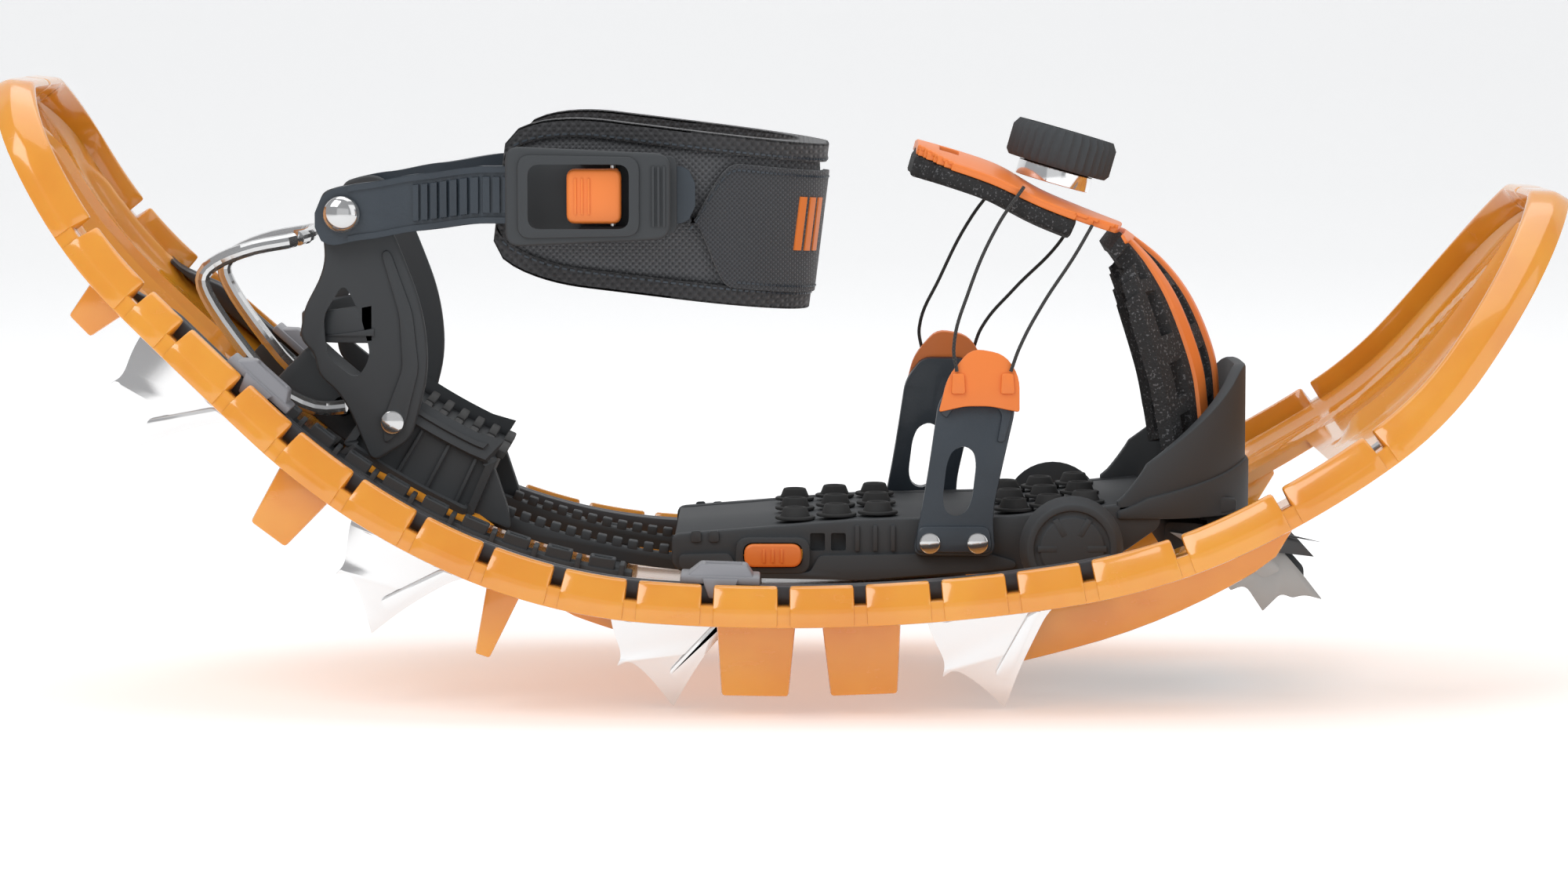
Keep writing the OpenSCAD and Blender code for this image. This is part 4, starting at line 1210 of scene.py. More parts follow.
@dataclass
class ToePlate:
    """The toe plate with its ledge, windows, grip bumps and the orange size button."""

    half: float = 0.045
    wall: float = 0.005

    def side(self) -> bpy.types.Object:
        """The near side wall, with its windows, button slot and raised ledge."""
        outline = rounded(from_pivot([(-133.5, 3), (-70, 8), (-20, 9), (29.5, 14.3), (31, 6), (14, -6), (-14, -9.5),
                                      (-70, -12.5), (-126, -11.5), (-133.5, -8)]),
                          [0.003, 0.01, 0.01, 0.002, 0.003, 0.008, 0.01, 0.01, 0.006, 0.003], 4)
        piece = plate("plate_side", outline, -self.half, -self.half + self.wall, 0.0009)
        tools = [plate("window", rounded(from_pivot([(x, -2.5), (x + 5, -2.5), (x + 5, 3.5), (x, 3.5)]), 0.0008),
                       -self.half - 0.002, -self.half + 0.0035) for x in (-87, -80)]
        tools.append(plate("slot", rounded(from_pivot([(-109.5, -8), (-89.5, -8), (-89.5, 0.5), (-109.5, 0.5)]),
                                           0.0036, 6), -self.half - 0.002, -self.half + 0.012))
        cut(piece, tools)
        ledge = plate("ledge", rounded(from_pivot([(-131, -3.6), (-114, -3.2), (-111, -9), (-87, -9.6), (-84, -4),
                                                   (-28, -3.0), (-18, -6), (-18, -8), (-30, -9.2), (-70, -12.3),
                                                   (-124, -11.2), (-131, -8)]), 0.0016, 3),
                      -self.half - 0.0016, -self.half + 0.001, 0.0007)
        frame_ring = plate("button_frame", rounded(from_pivot([(-112, -10), (-87, -10), (-87, 2.2), (-112, 2.2)]),
                                                   0.0045, 6), -self.half - 0.0021, -self.half + 0.001, 0.0006)
        hole = plate("frame_hole", rounded(from_pivot([(-109.5, -8), (-89.5, -8), (-89.5, 0.5), (-109.5, 0.5)]),
                                           0.0036, 6), -self.half - 0.004, -self.half + 0.004)
        cut(frame_ring, [hole])
        slot = plate("ledge_hole", rounded(from_pivot([(-110, -8.4), (-89, -8.4), (-89, 0.9), (-110, 0.9)]),
                                           0.0036, 6), -self.half - 0.004, -self.half + 0.002)
        cut(ledge, [slot])
        rib = [plate("side_rib", from_pivot([(x, -2.6), (x + 1.6, -2.6), (x + 1.6, 6.2), (x, 6.2)]),
                     -self.half - 0.0011, -self.half + 0.001, 0.0004) for x in (-72, -66, -60)]
        pips = [plate("side_pip", rounded(from_pivot([(x, 0.4), (x + 3.4, 0.5), (x + 3.4, 4.4), (x, 4.2)]), 0.001),
                      -self.half - 0.0008, -self.half + 0.001, 0.0003) for x in (-127, -121)]
        return joined("plate_wall", [piece, ledge, frame_ring, *rib, *pips])

    def top(self) -> bpy.types.Object:
        """The plate's deck between the walls, with cross ribs below."""
        piece = plate("plate_top", from_pivot([(-132.5, 2.6), (-70, 7.6), (-20, 8.6), (29, 13.8), (26, 8.4), (8, 6.8),
                                               (-20, 4.2), (-70, 3.2), (-132.5, -1.6)]),
                      -self.half + 0.004, self.half - 0.004, 0.0006)
        ribs = [plate("cross_rib", from_pivot([(x, 4), (x + 2.5, 4.2), (x + 2.5, -4), (x, -4)]),
                      -self.half + 0.0045, self.half - 0.0045, 0.0004) for x in (-48, -30, 16)]
        for rib in ribs:
            shape(rib, lambda p: (p.x, p.y, max(p.z, PIVOT.z + 0.0005)))
        return joined("plate_deck", [piece, *ribs])

    def bumps(self) -> bpy.types.Object:
        """The round grip bumps, with a ring around each."""
        made = []
        for x in (-92, -78, -64, -18, -6, 6):
            if x < -70:
                z = 8 + 5 * (x + 70) / 63.5
            else:
                z = 8 + (x + 70) / 50 if x < -20 else 9 + 5.3 * (x + 20) / 49.5
            for y in (-0.030, 0.0, 0.030):
                place = Matrix.Translation((PIVOT.x + x * MM, y, PIVOT.z + (z + 0.3) * MM))
                bump = disc("bump", 0.0055, 0.0042, Matrix.Identity(4), 28)
                shape(bump, lambda p: p if p.z < 0.001 else (p.x * 0.7, p.y * 0.7, p.z))
                recess(bump, lambda c, n: n.z > 0.9, 0.0010, 0.0009)
                bevel(bump, 0.0005, 2, 30)
                bump.data.transform(place)
                ring = disc("bump_ring", 0.0068, 0.0011, place, 28, 0.0004)
                made += [bump, ring]
        return joined("grip_bumps", made)

    def button(self) -> bpy.types.Object:
        """The orange size button: an oval with three grip lines."""
        piece = plate("button", rounded(from_pivot([(-109.1, -7.6), (-89.9, -7.6), (-89.9, 0.1), (-109.1, 0.1)]),
                                        0.0034, 6), -self.half - 0.004, -self.half + 0.0045, 0.0009, 3)
        lines = [plate("grip", from_pivot([(x, -6), (x + 0.9, -6), (x + 0.9, -1.4), (x, -1.4)]),
                       -self.half - 0.0046, -self.half - 0.003, 0.0002) for x in (-103, -100, -97)]
        return joined("size_button_cap", [piece, *lines])

    def build(self) -> None:
        """Models the plate and dresses it."""
        wall = self.side()
        far = mirrored(wall, "plate_wall_far")
        dress(joined("toe_plate_body", [wall, far, self.top()]), BLACK, Body.BINDING, ("toe_plate",), 30)
        dress(self.bumps(), RUBBER, Body.BINDING, ("traction_pads",))
        dress(self.button(), TRIM, Body.BUTTON, ("size_button",))


@dataclass
class ToeCup:
    """The toe cup: a U-shaped wall that rises to a spike at the front, with a thick lower rim."""

    front: float = 0.062
    half: float = 0.045
    wall: float = 0.0042

    def ring(self, out: float, rows: Sequence[tuple[float, float]], name: str, low: float) -> bpy.types.Object:
        """A bent wall whose top follows a line along the U.

        Args:
            out: How far its outer face is from the cup's outline.
            rows: Height above the pivot along the U, as share and millimetres.
            name: The piece's name.
            low: Height of its foot above the pivot.

        Returns:
            The wall.
        """
        path = self.path()
        piece = block(name, (0, 0, 0), (1, 1, 1), 0.0, len(path) - 2)

        def lay(p: Vector) -> Point:
            """Lays a point in its place."""
            k = min(int(round(p.x * (len(path) - 1))), len(path) - 1)
            a, b = path[max(k - 1, 0)], path[min(k + 1, len(path) - 1)]
            way = Vector((b[0] - a[0], b[1] - a[1])).normalized()
            inward = Vector((-way.y, way.x))
            depth = out + p.y * (self.wall - out * 0.5)
            x, y = path[k][0] + inward.x * depth, path[k][1] + inward.y * depth
            share = 1 - abs(2 * k / (len(path) - 1) - 1)
            high = self.level(share, rows)
            return PIVOT.x + x, y, PIVOT.z + (low if p.z < 0.5 else high) * MM

        shape(piece, lay)
        outward(piece)
        bevel(piece, 0.0009, 2, 50)
        return piece

    @staticmethod
    def level(share: float, rows: Sequence[tuple[float, float]]) -> float:
        """The height at a share of the way to the front, from a table."""
        for (s0, h0), (s1, h1) in zip(rows, rows[1:]):
            if share <= s1:
                return h0 + (h1 - h0) * max(0.0, share - s0) / (s1 - s0)
        return rows[-1][1]

    def path(self) -> list[tuple[float, float]]:
        """The U in plan, from the near side round the front to the far side."""
        radius = 0.036
        points = [(0.016 + (self.front - radius - 0.016) * k / 8, -self.half) for k in range(9)]
        for k in range(1, 15):
            a = math.pi / 2 * k / 14
            points.append((self.front - radius + radius * math.sin(a), -self.half + radius * (1 - math.cos(a))))
        points.append((self.front, 0.0))
        return points + [(x, -y) for x, y in reversed(points[:-1])]

    def build(self) -> None:
        """Models the cup and dresses it."""
        rows = [(0.0, 14.0), (0.10, 16.5), (0.22, 21.0), (0.34, 26.0), (0.46, 34.0), (0.58, 42.0), (0.70, 50.0),
                (0.80, 56.5), (0.86, 58.0), (1.0, 58.0)]
        shell = self.ring(0.0, rows, "cup_wall", 9.0)
        rim_rows = [(s, 9.5 + (h - 9.5) * 0.34) for s, h in rows]
        skirt = self.ring(-0.0012, rim_rows, "cup_skirt", 8.2)
        floor = plate("cup_floor", rounded(from_pivot([(29.8, 8.4), (30, 14), (48, 15.2), (57, 14), (57, 10),
                                                       (44, 7.4)]), 0.001), -0.036, 0.036, 0.0008)
        web = [plate("cup_web", from_pivot([(32, 14), (56, 14.5), (57.5, 34), (56, 44), (54.5, 30)]), y, y + 0.0022,
                     0.0005) for y in (-0.014, 0.0118)]
        dress(joined("toe_cup_body", [shell, skirt, floor, *web]), BLACK, Body.BINDING, ("toe_cup",), 40)


@dataclass
class Wings:
    """The slate wings that carry the laces, with oval slots, trapezoid windows and orange caps."""

    places: tuple[float, float] = (-39.0, -48.0)
    side: float = 0.0465
    lean: float = math.radians(-7)

    def stand(self, piece: bpy.types.Object, x: float) -> bpy.types.Object:
        """Leans a piece inwards and puts it at its place on the near side."""
        piece.data.transform(Matrix.Translation((PIVOT.x + x * MM, -self.side, PIVOT.z))
                             @ Matrix.Rotation(self.lean, 4, "X"))
        return piece

    def wing(self, x: float) -> list[bpy.types.Object]:
        """One wing and its cap."""
        mm = [(a * MM, b * MM) for a, b in ((-14, -4), (14, -4), (13, 10), (15.5, 22), (21, 46), (16, 56), (1, 56),
                                            (-5, 48), (-8.5, 24), (-11, 10))]
        body = plate("wing", rounded(mm, [0.004, 0.004, 0.008, 0.01, 0.004, 0.003, 0.003, 0.004, 0.01, 0.008], 5),
                     -0.0035, 0.0, 0.0007)
        slot = [(2 + dx * 5 + dz * 1.3, 21 + dz * 11) for dx, dz in
                ((-1, -0.5), (-0.75, -0.92), (0, -1.1), (0.75, -0.92), (1, -0.5), (1, 0.5), (0.75, 0.92), (0, 1.1),
                 (-0.75, 0.92), (-1, 0.5))]
        cut(body, [plate("slot", rounded([(a * MM, b * MM) for a, b in slot], 0.002, 3), -0.01, 0.01)])
        lip = plate("wing_lip", rounded([(a * MM, b * MM) for a, b in (
            (-13, -3), (13, -3), (12, 6), (-12, 6))], 0.003), -0.0049, -0.0030, 0.0008)
        edge = plate("wing_edge", rounded([(a * MM, b * MM) for a, b in (
            (-4.6, 44), (-1, 50), (16, 50), (19.6, 44), (17, 34), (14.6, 34), (16.2, 43), (14, 47), (1, 47),
            (-2.4, 42))], 0.001), -0.0044, -0.0030, 0.0004)
        cap = plate("wing_cap", rounded([(a * MM, b * MM) for a, b in (
            (-5, 44), (-2, 56), (6, 65.5), (17, 63.5), (22, 56), (22, 44), (12, 46), (4, 46))],
            [0.001, 0.004, 0.004, 0.004, 0.004, 0.001, 0.002, 0.002], 4), -0.0065, -0.0036, 0.0009, 3)
        guides = [plate("cord_guide", rounded([(a * MM, b * MM) for a, b in (
            (g - 2.4, 50), (g + 2.4, 50), (g + 2.0, 57), (g - 2.0, 57))], 0.001), -0.0077, -0.0060, 0.0005)
            for g in (1.5, 18.0)]
        return [self.stand(joined("wing_plate", [body, lip, edge]), x),
                self.stand(joined("cap_plate", [cap, *guides]), x)]

    def build(self) -> None:
        """Models both wings and dresses them."""
        for x, word, far in ((self.places[0], "right", False), (self.places[1], "left", True)):
            body, cap = self.wing(x)
            rivets = []
            for dx in (-8, 8):
                head = disc("rivet", 0.0036, 0.0014, Matrix.Translation(
                    (PIVOT.x + (x + dx) * MM, -self.side - 0.0046, PIVOT.z + 0.0008))
                    @ Matrix.Rotation(math.pi / 2, 4, "X"), 24, 0.0006)
                rivets.append(head)
            heads = joined("wing_heads", rivets)
            if far:
                made = [body, cap, heads]
                body, cap, heads = (mirrored(piece, f"{piece.name}_far") for piece in made)
                for piece in made:
                    bpy.data.objects.remove(piece)
            dress(body, FLEX, Body.BINDING, (f"wing_{word}",))
            dress(cap, TRIM, Body.BINDING, (f"wing_cap_{word}",))
            dress(heads, WIRE, Body.BINDING, ("wing_rivets",) if not far else ())


@dataclass
class Claw:
    """The worn front claw on its black carrier, under the toes."""

    thick: float = 0.0025

    def build(self) -> None:
        """Models the carrier and both claw plates."""
        carrier = plate("carrier", rounded(from_pivot([(32, -4), (33, 6), (45, 5.5), (72, -2.5), (80, -9), (80, -14),
                                                       (74, -10), (64, -9)]), 0.0018, 3), -0.034, 0.034, 0.0008)
        recess(carrier, lambda c, n: n.z > 0.8 and c.x > PIVOT.x + 0.044, 0.005, 0.0016)
        dress(carrier, BLACK, Body.BINDING, ("claw_carrier",))
        outline = rounded(from_pivot([(34, 3), (72, -3), (79, -11), (86, -20), (80, -18.5), (76, -19.5), (72, -18),
                                      (66, -24), (60, -15), (55, -17), (50, -7)]),
                          [0.001, 0.002, 0.004, 0.0004, 0.002, 0.001, 0.002, 0.0004, 0.003, 0.0006, 0.003], 4)
        near = plate("claw", outline, -0.0341 - self.thick, -0.0341, 0.0005)
        rib = plate("claw_rib", rounded(from_pivot([(44, -1), (68, -4.5), (72, -10), (66, -13), (60, -8)]), 0.002),
                    -0.0341 - self.thick - 0.0008, -0.036, 0.0006)
        side = joined("claw_side", [near, rib])
        far = mirrored(side, "claw_side_far")
        dress(joined("front_claw_pair", [side, far]), CLAW, Body.BINDING, ("front_claw",), 25)


# ---------------------------------------------------------------- heel
@dataclass(frozen=True)
class SoleArc:
    """The arc that the heel block and its rails slide along."""

    radius: float = 0.2285
    rear_tilt: float = -44.31
    front_tilt: float = -23.50
    rail_tilt: float = 4.3

    @property
    def centre(self) -> Vector:
        """Centre of the arc."""
        return PIVOT + Vector((-0.1109, 0, 0.2145))

    def at(self, turn: float, up: float) -> tuple[float, float]:
        """X and Z at a tilt in degrees, up from the deck line in metres."""
        a, reach, c = math.radians(turn), self.radius - up, self.centre
        return c.x + reach * math.sin(a), c.z - reach * math.cos(a)

    def band(self, a0: float, a1: float, low: float, high: float, steps: int = 10) -> list[tuple[float, float]]:
        """Outline of a curved bar between two tilts and two heights."""
        turns = [a0 + (a1 - a0) * k / steps for k in range(steps + 1)]
        return [self.at(a, low) for a in turns] + [self.at(a, high) for a in reversed(turns)]


SOLE = SoleArc()
HEEL = PIVOT + Vector((-0.2451, 0, 0.0446))
RIVET = HEEL + Vector((0.002, 0, 0.066))


def from_heel(points: Iterable[Point]) -> list[tuple[float, float]]:
    """Side-view points in millimetres from the heel pivot, as X and Z in metres."""
    return [(HEEL.x + x * MM, HEEL.z + z * MM) for x, z in points]


@dataclass
class HeelBlock:
    """The black heel block with its ribbed rubber top, side gussets and toothed rails."""

    half: float = 0.0375
    narrow: float = 0.027
    wide_tilt: float = SOLE.rear_tilt + 8
    low: float = 0.003
    high: float = 0.025

    def body(self) -> bpy.types.Object:
        """The block: walls, a floor, a narrow rear end and gussets."""
        main = plate("block_main", SOLE.band(self.wide_tilt, SOLE.front_tilt, self.low, self.high), -self.half,
                     self.half, 0.0012)
        recess(main, lambda c, n: n.y < -0.9, 0.0028, 0.0012)
        recess(main, lambda c, n: n.y > 0.9, 0.0028, 0.0012)
        rear = plate("block_rear", SOLE.band(SOLE.rear_tilt, self.wide_tilt + 1, self.low, 0.0185), -self.narrow,
                     self.narrow, 0.0012)
        cut(rear, [plate("bore", circle(HEEL.x, HEEL.z, 0.0034), -0.05, 0.05)])
        parts = [main, rear]
        span = SOLE.front_tilt - self.wide_tilt
        for k in range(4):
            a = self.wide_tilt + span * (0.18 + 0.22 * k)
            for side in (-1, 1):
                y = side * (self.half - 0.0006)
                parts.append(plate("block_rib", SOLE.band(a, a + 0.35, self.low + 0.002, self.high - 0.003, 2),
                                   y - 0.0006, y + 0.0006, 0.0004))
        gusset = [SOLE.at(SOLE.front_tilt - 0.4, self.low + 0.001), SOLE.at(SOLE.front_tilt + 3.4, self.low + 0.001),
                  SOLE.at(SOLE.front_tilt + 2.6, 0.010), SOLE.at(SOLE.front_tilt - 0.4, self.high - 0.002)]
        for side in (-1, 1):
            for y in (0.031, 0.0345):
                parts.append(plate("gusset", rounded(gusset, 0.0015, 3), side * y - 0.0012, side * y + 0.0012,
                                   0.0005))
        return joined("heel_block_body", parts)

    def tread(self) -> bpy.types.Object:
        """The rubber ribs on top, each crowned and notched in the middle."""
        ribs = []
        for k in range(8):
            a = self.wide_tilt + 0.5 + 1.7 * k
            for y0, y1 in ((-self.half + 0.003, -0.0025), (0.0025, self.half - 0.003)):
                rib = plate("tread_rib", SOLE.band(a, a + 0.85, self.high - 0.0002, self.high + 0.0026, 2), y0, y1,
                            0.0006)
                ribs.append(rib)
        return joined("heel_ribs", ribs)

    def rail(self, y: float) -> bpy.types.Object:
        """A rail with its teeth, from the block to the toe plate."""
        a0, a1 = SOLE.front_tilt + 0.05, SOLE.rail_tilt
        bar = plate("rail_bar", SOLE.band(a0, a1, 0.002, 0.0072, 24), y - 0.003, y + 0.003, 0.0005)
        teeth = []
        for k in range(14):
            a = SOLE.front_tilt + 2.4 + 1.4 * k
            teeth.append(plate("tooth", SOLE.band(a, a + 0.85, 0.0068, 0.0098, 2), y - 0.003, y + 0.003, 0.0005))
        return joined("rail", [bar, *teeth])

    def build(self) -> None:
        """Models the block and dresses it."""
        dress(self.body(), BLACK, Body.HEEL, ("heel_block",), 30)
        dress(self.tread(), RUBBER, Body.HEEL, ("heel_tread",))
        dress(self.rail(-0.025), BLACK, Body.HEEL, ("rail_right",))
        dress(self.rail(0.025), BLACK, Body.HEEL, ("rail_left",))


@dataclass
class HeelCup:
    """The two fin-shaped uprights, the brace behind the heel and the rivets."""

    inner: float = 0.0376
    outer: float = 0.0416

    def upright(self) -> bpy.types.Object:
        """The near upright with its window, raised rim and rivet collar."""
        outline = rounded(from_heel([(11, -18), (24, -10), (26.5, -2), (30.5, 14), (28.5, 34), (21, 54), (14, 70),
                                     (6, 76.5), (-6, 73), (-5, 60), (-4, 48), (-11.5, 34), (-13, 24), (-8, 19),
                                     (-7, 12), (2, 4)]),
                          [0.004, 0.004, 0.006, 0.012, 0.012, 0.012, 0.010, 0.006, 0.004, 0.008, 0.008, 0.004,
                           0.003, 0.003, 0.004, 0.010], 6)
        fin = plate("fin", outline, -self.outer, -self.inner, 0.0012, 3)
        window = plate("window", rounded(from_heel([(-4, 18), (6, 10), (11, 18), (7.5, 32), (2, 43), (-5, 32)]),
                                         0.004, 5), -0.05, -0.03)
        hole = plate("hole", circle(RIVET.x, RIVET.z, 0.0031), -0.05, -0.03)
        cut(fin, [window, hole])
        rib = plate("fin_rib", rounded(from_heel([(15, -12), (22, -6), (27, 14), (25, 33), (17.5, 54), (14.5, 53),
                                                  (20.5, 32), (21.5, 14), (15, -3)]), 0.003, 4),
                    -self.outer - 0.0009, -self.outer + 0.0006, 0.0006)
        collar = disc("collar", 0.0078, 0.0016, Matrix.Translation((RIVET.x, -self.outer + 0.0002, RIVET.z))
                      @ Matrix.Rotation(math.pi / 2, 4, "X"), 32, 0.0005)
        return joined("upright_fin", [fin, rib, collar])

    def brace(self) -> bpy.types.Object:
        """The bent brace behind the heel, with a ridge along it."""
        radius, rear = 0.018, -0.012
        path = [(0.012 - 0.006 * k / 3, -0.0396) for k in range(3)]
        for k in range(13):
            a = math.pi / 2 * k / 12
            path.append((0.006 - radius * math.sin(a), -0.0216 - radius * math.cos(a)))
        path += [(rear, 0.0)] + [(x, -y) for x, y in reversed(path)]

        def bend(low: float, high: float, thick: float, out: float) -> bpy.types.Object:
            piece = block("brace", (0, 0, 0), (1, 1, 1), 0.0, len(path) - 2)

            def lay(p: Vector) -> Point:
                """Lays a point in its place."""
                k = min(int(round(p.x * (len(path) - 1))), len(path) - 1)
                a, b = path[max(k - 1, 0)], path[min(k + 1, len(path) - 1)]
                way = Vector((b[0] - a[0], b[1] - a[1])).normalized()
                depth = (p.y - 0.5) * thick + out
                dip = 0.004 * math.sin(math.pi * k / (len(path) - 1))
                return (HEEL.x + path[k][0] - way.y * depth, path[k][1] + way.x * depth,
                        HEEL.z + (low if p.z < 0.5 else high) - (dip if p.z > 0.5 else 0))

            shape(piece, lay)
            outward(piece)
            bevel(piece, 0.0008, 2, 50)
            return piece

        return joined("heel_brace", [bend(0.0225, 0.0360, 0.0040, 0.0), bend(0.0250, 0.0275, 0.0054, 0.0)])

    def rivet(self) -> bpy.types.Object:
        """A domed steel rivet through the near upright."""
        bpy.ops.object.select_all(action="DESELECT")
        bpy.ops.mesh.primitive_uv_sphere_add(segments=32, ring_count=16, radius=1, location=(0, 0, 0))
        head = bpy.context.object
        shape(head, lambda p: (RIVET.x + p.x * 0.0062, -0.0486 - (p.z * 0.0034 if p.z > 0 else p.z * 0.0004),
                               RIVET.z + p.y * 0.0062))
        outward(head)
        stem = disc("stem", 0.003, 0.0125, Matrix.Translation((RIVET.x, -0.0362, RIVET.z))
                    @ Matrix.Rotation(math.pi / 2, 4, "X"), 20, 0.0003)
        return joined("dome_rivet", [head, stem])

    def build(self) -> None:
        """Models the cup and dresses it."""
        near = self.upright()
        far = mirrored(near, "upright_fin_far")
        dress(joined("heel_cup_body", [near, far, self.brace()]), BLACK, Body.HEEL, ("heel_cup",), 30)
        rivet = self.rivet()
        dress(joined("strap_heads", [rivet, mirrored(rivet, "dome_far")]), WIRE, Body.HEEL, ("strap_rivets",), 50)
        low = disc("low_rivet", 0.004, 0.0017, Matrix.Translation((HEEL.x + 0.018, -self.outer - 0.0002,
                                                                 HEEL.z - 0.004))
                   @ Matrix.Rotation(math.pi / 2, 4, "X"), 28, 0.0007)
        dress(joined("cup_heads", [low, mirrored(low, "low_far")]), WIRE, Body.HEEL, ("cup_rivets",))


# ---------------------------------------------------------------- instep strap
@dataclass
class InstepStrap:
    """The ladder strap, the buckle and the padded instep loop."""

    width: float = 0.019
    thick: float = 0.003
    loop_z: float = RIVET.z + 0.007
    buckle_x: float = RIVET.x + 0.058
    base_y: float = 0.0601
    pad_start: float = RIVET.x + 0.053
    pad_end: float = RIVET.x + 0.160
    pad_out: float = 0.0555
    pad_thick: float = 0.011
    pad_high: float = 0.056
    pad_tilt: float = math.radians(7)
    knots: tuple[tuple[float, float, float], ...] = (
        (-9, 45.5, -2), (8, 45.5, 1), (26, 47.5, 4), (48, 57.5, 7), (60, 58.5, 7), (118, 58.5, 7), (140, 58.5, 7))

    def route(self, x: float) -> Vector:
        """The strap's middle at a distance in millimetres ahead of the rivet, with y positive outwards."""
        k = 0
        while k < len(self.knots) - 2 and x > self.knots[k + 1][0]:
            k += 1
        a, b = self.knots[k], self.knots[k + 1]
        t = (x - a[0]) / (b[0] - a[0])
        t = t if t < 0 else t * t * (3 - 2 * t) * 0.5 + t * 0.5
        return Vector((x, a[1] + (b[1] - a[1]) * t, a[2] + (b[2] - a[2]) * t))

    def follow(self, piece: bpy.types.Object, side: int) -> bpy.types.Object:
        """Lays a piece along the strap: x in millimetres ahead, y outwards and z up, on one side."""
        def lay(p: Vector) -> Point:
            """Lays a point in its place."""
            mid, ahead = self.route(p.x), self.route(p.x + 1)
            way = (ahead - mid).normalized()
            return (RIVET.x + (p.x - way.y * p.y * 1000) * MM, side * (mid.y * MM + way.x * p.y),
                    RIVET.z + mid.z * MM + p.z)

        shape(piece, lay)
        if side < 0:
            piece.data.flip_normals()
        return piece

    def strap(self, end: float, side: int, name: str) -> bpy.types.Object:
        """One strap with a rounded end, raised edges and ladder teeth."""
        band = block("band", (-9, -self.thick / 2, -self.width / 2), (end, self.thick / 2, self.width / 2), 0.0, 60)

        def round_end(p: Vector) -> Point:
            """Narrows the strap towards its ends."""
            ahead = min(1.0, (p.x + 9) / 8.0)
            behind = min(1.0, (end - p.x) / 6.0) if name == "near" else 1.0
            share = math.sqrt(max(0.0, 1 - (1 - ahead) ** 2)) * 0.75 + 0.25
            share *= math.sqrt(max(0.0, 1 - (1 - behind) ** 2)) * 0.6 + 0.4
            return p.x, p.y, p.z * share

        shape(band, round_end)
        parts = [band]
        first = 24 if name == "near" else 30
        for k in range(int((end - first - 4) / 3.4)):
            x = first + 3.4 * k
            tooth = block("tooth", (x, 0.0012, -0.0062), (x + 2.2, 0.0026, 0.0062))
            shape(tooth, lambda p: p if p.y < 0.002 else (p.x + (0.35 if p.x > x + 1 else 0.2), p.y, p.z * 0.96))
            parts.append(tooth)
        for low, high in ((-0.0093, -0.0074), (0.0074, 0.0093)):
            parts.append(block("edge", (2, 0.0010, low), (end - 7, 0.0023, high), 0.0, 50))
        whole = joined(f"strap_{name}", parts)
        return self.follow(whole, side)

    def base(self) -> bpy.types.Object:
        """The buckle's base plate with its ears."""
        x0, x1 = self.buckle_x, self.buckle_x + 0.054
        y = self.base_y
        z = self.loop_z
        back = plate("base", rounded([(x0, z - 0.013), (x1, z - 0.013), (x1, z + 0.013), (x0, z + 0.013)], 0.003),
                     -y - 0.003, -y, 0.0007)
        parts = [back]
        for low in (z - 0.013, z + 0.010):
            parts.append(block("ear", (x1 - 0.014, -y - 0.0088, low), (x1 - 0.0035, -y - 0.001, low + 0.003), 0.0008))
            parts.append(block("ear_low", (x0 + 0.022, -y - 0.0070, low), (x0 + 0.038, -y - 0.001, low + 0.003),
                               0.0007))
        return joined("buckle_plate", parts)

    def lever(self) -> bpy.types.Object:
        """The ring-shaped lever, with a stepped frame and grip lines."""
        x0, x1 = self.buckle_x - 0.002, self.buckle_x + 0.052
        inner, z = self.base_y + 0.0095, self.loop_z
        outline = rounded([(x0, z - 0.0165), (x1, z - 0.0140), (x1, z + 0.0140), (x0, z + 0.0165)], 0.005, 6)
        ring = plate("ring", outline, -inner - 0.004, -inner, 0.0012, 3)
        cut(ring, [plate("gap", rounded([(x0 + 0.007, z - 0.011), (x0 + 0.041, z - 0.011), (x0 + 0.041, z + 0.011),
                                         (x0 + 0.007, z + 0.011)], 0.004, 5), -inner - 0.01, -inner + 0.01)])
        rim = plate("rim", rounded([(x0 + 0.004, z - 0.0138), (x0 + 0.044, z - 0.0130), (x0 + 0.044, z + 0.0130),
                                    (x0 + 0.004, z + 0.0138)], 0.0045, 6), -inner - 0.0052, -inner - 0.003, 0.0007)
        cut(rim, [plate("gap", rounded([(x0 + 0.0074, z - 0.0106), (x0 + 0.0406, z - 0.0106),
                                        (x0 + 0.0406, z + 0.0106), (x0 + 0.0074, z + 0.0106)], 0.004, 5),
                        -inner - 0.01, -inner + 0.01)])
        arm = block("arm", (x1 - 0.0066, -inner - 0.0005, z - 0.009), (x1 - 0.0014, -self.base_y - 0.0045, z + 0.009),
                    0.0012)
        grips = [plate("grip", [(x1 - 0.0060 + k * 0.0018, z - 0.010), (x1 - 0.0051 + k * 0.0018, z - 0.010),
                                (x1 - 0.0051 + k * 0.0018, z + 0.010), (x1 - 0.0060 + k * 0.0018, z + 0.010)],
                       -inner - 0.0048, -inner - 0.003, 0.0003) for k in range(3)]
        return joined("lever_ring", [ring, rim, arm, *grips])

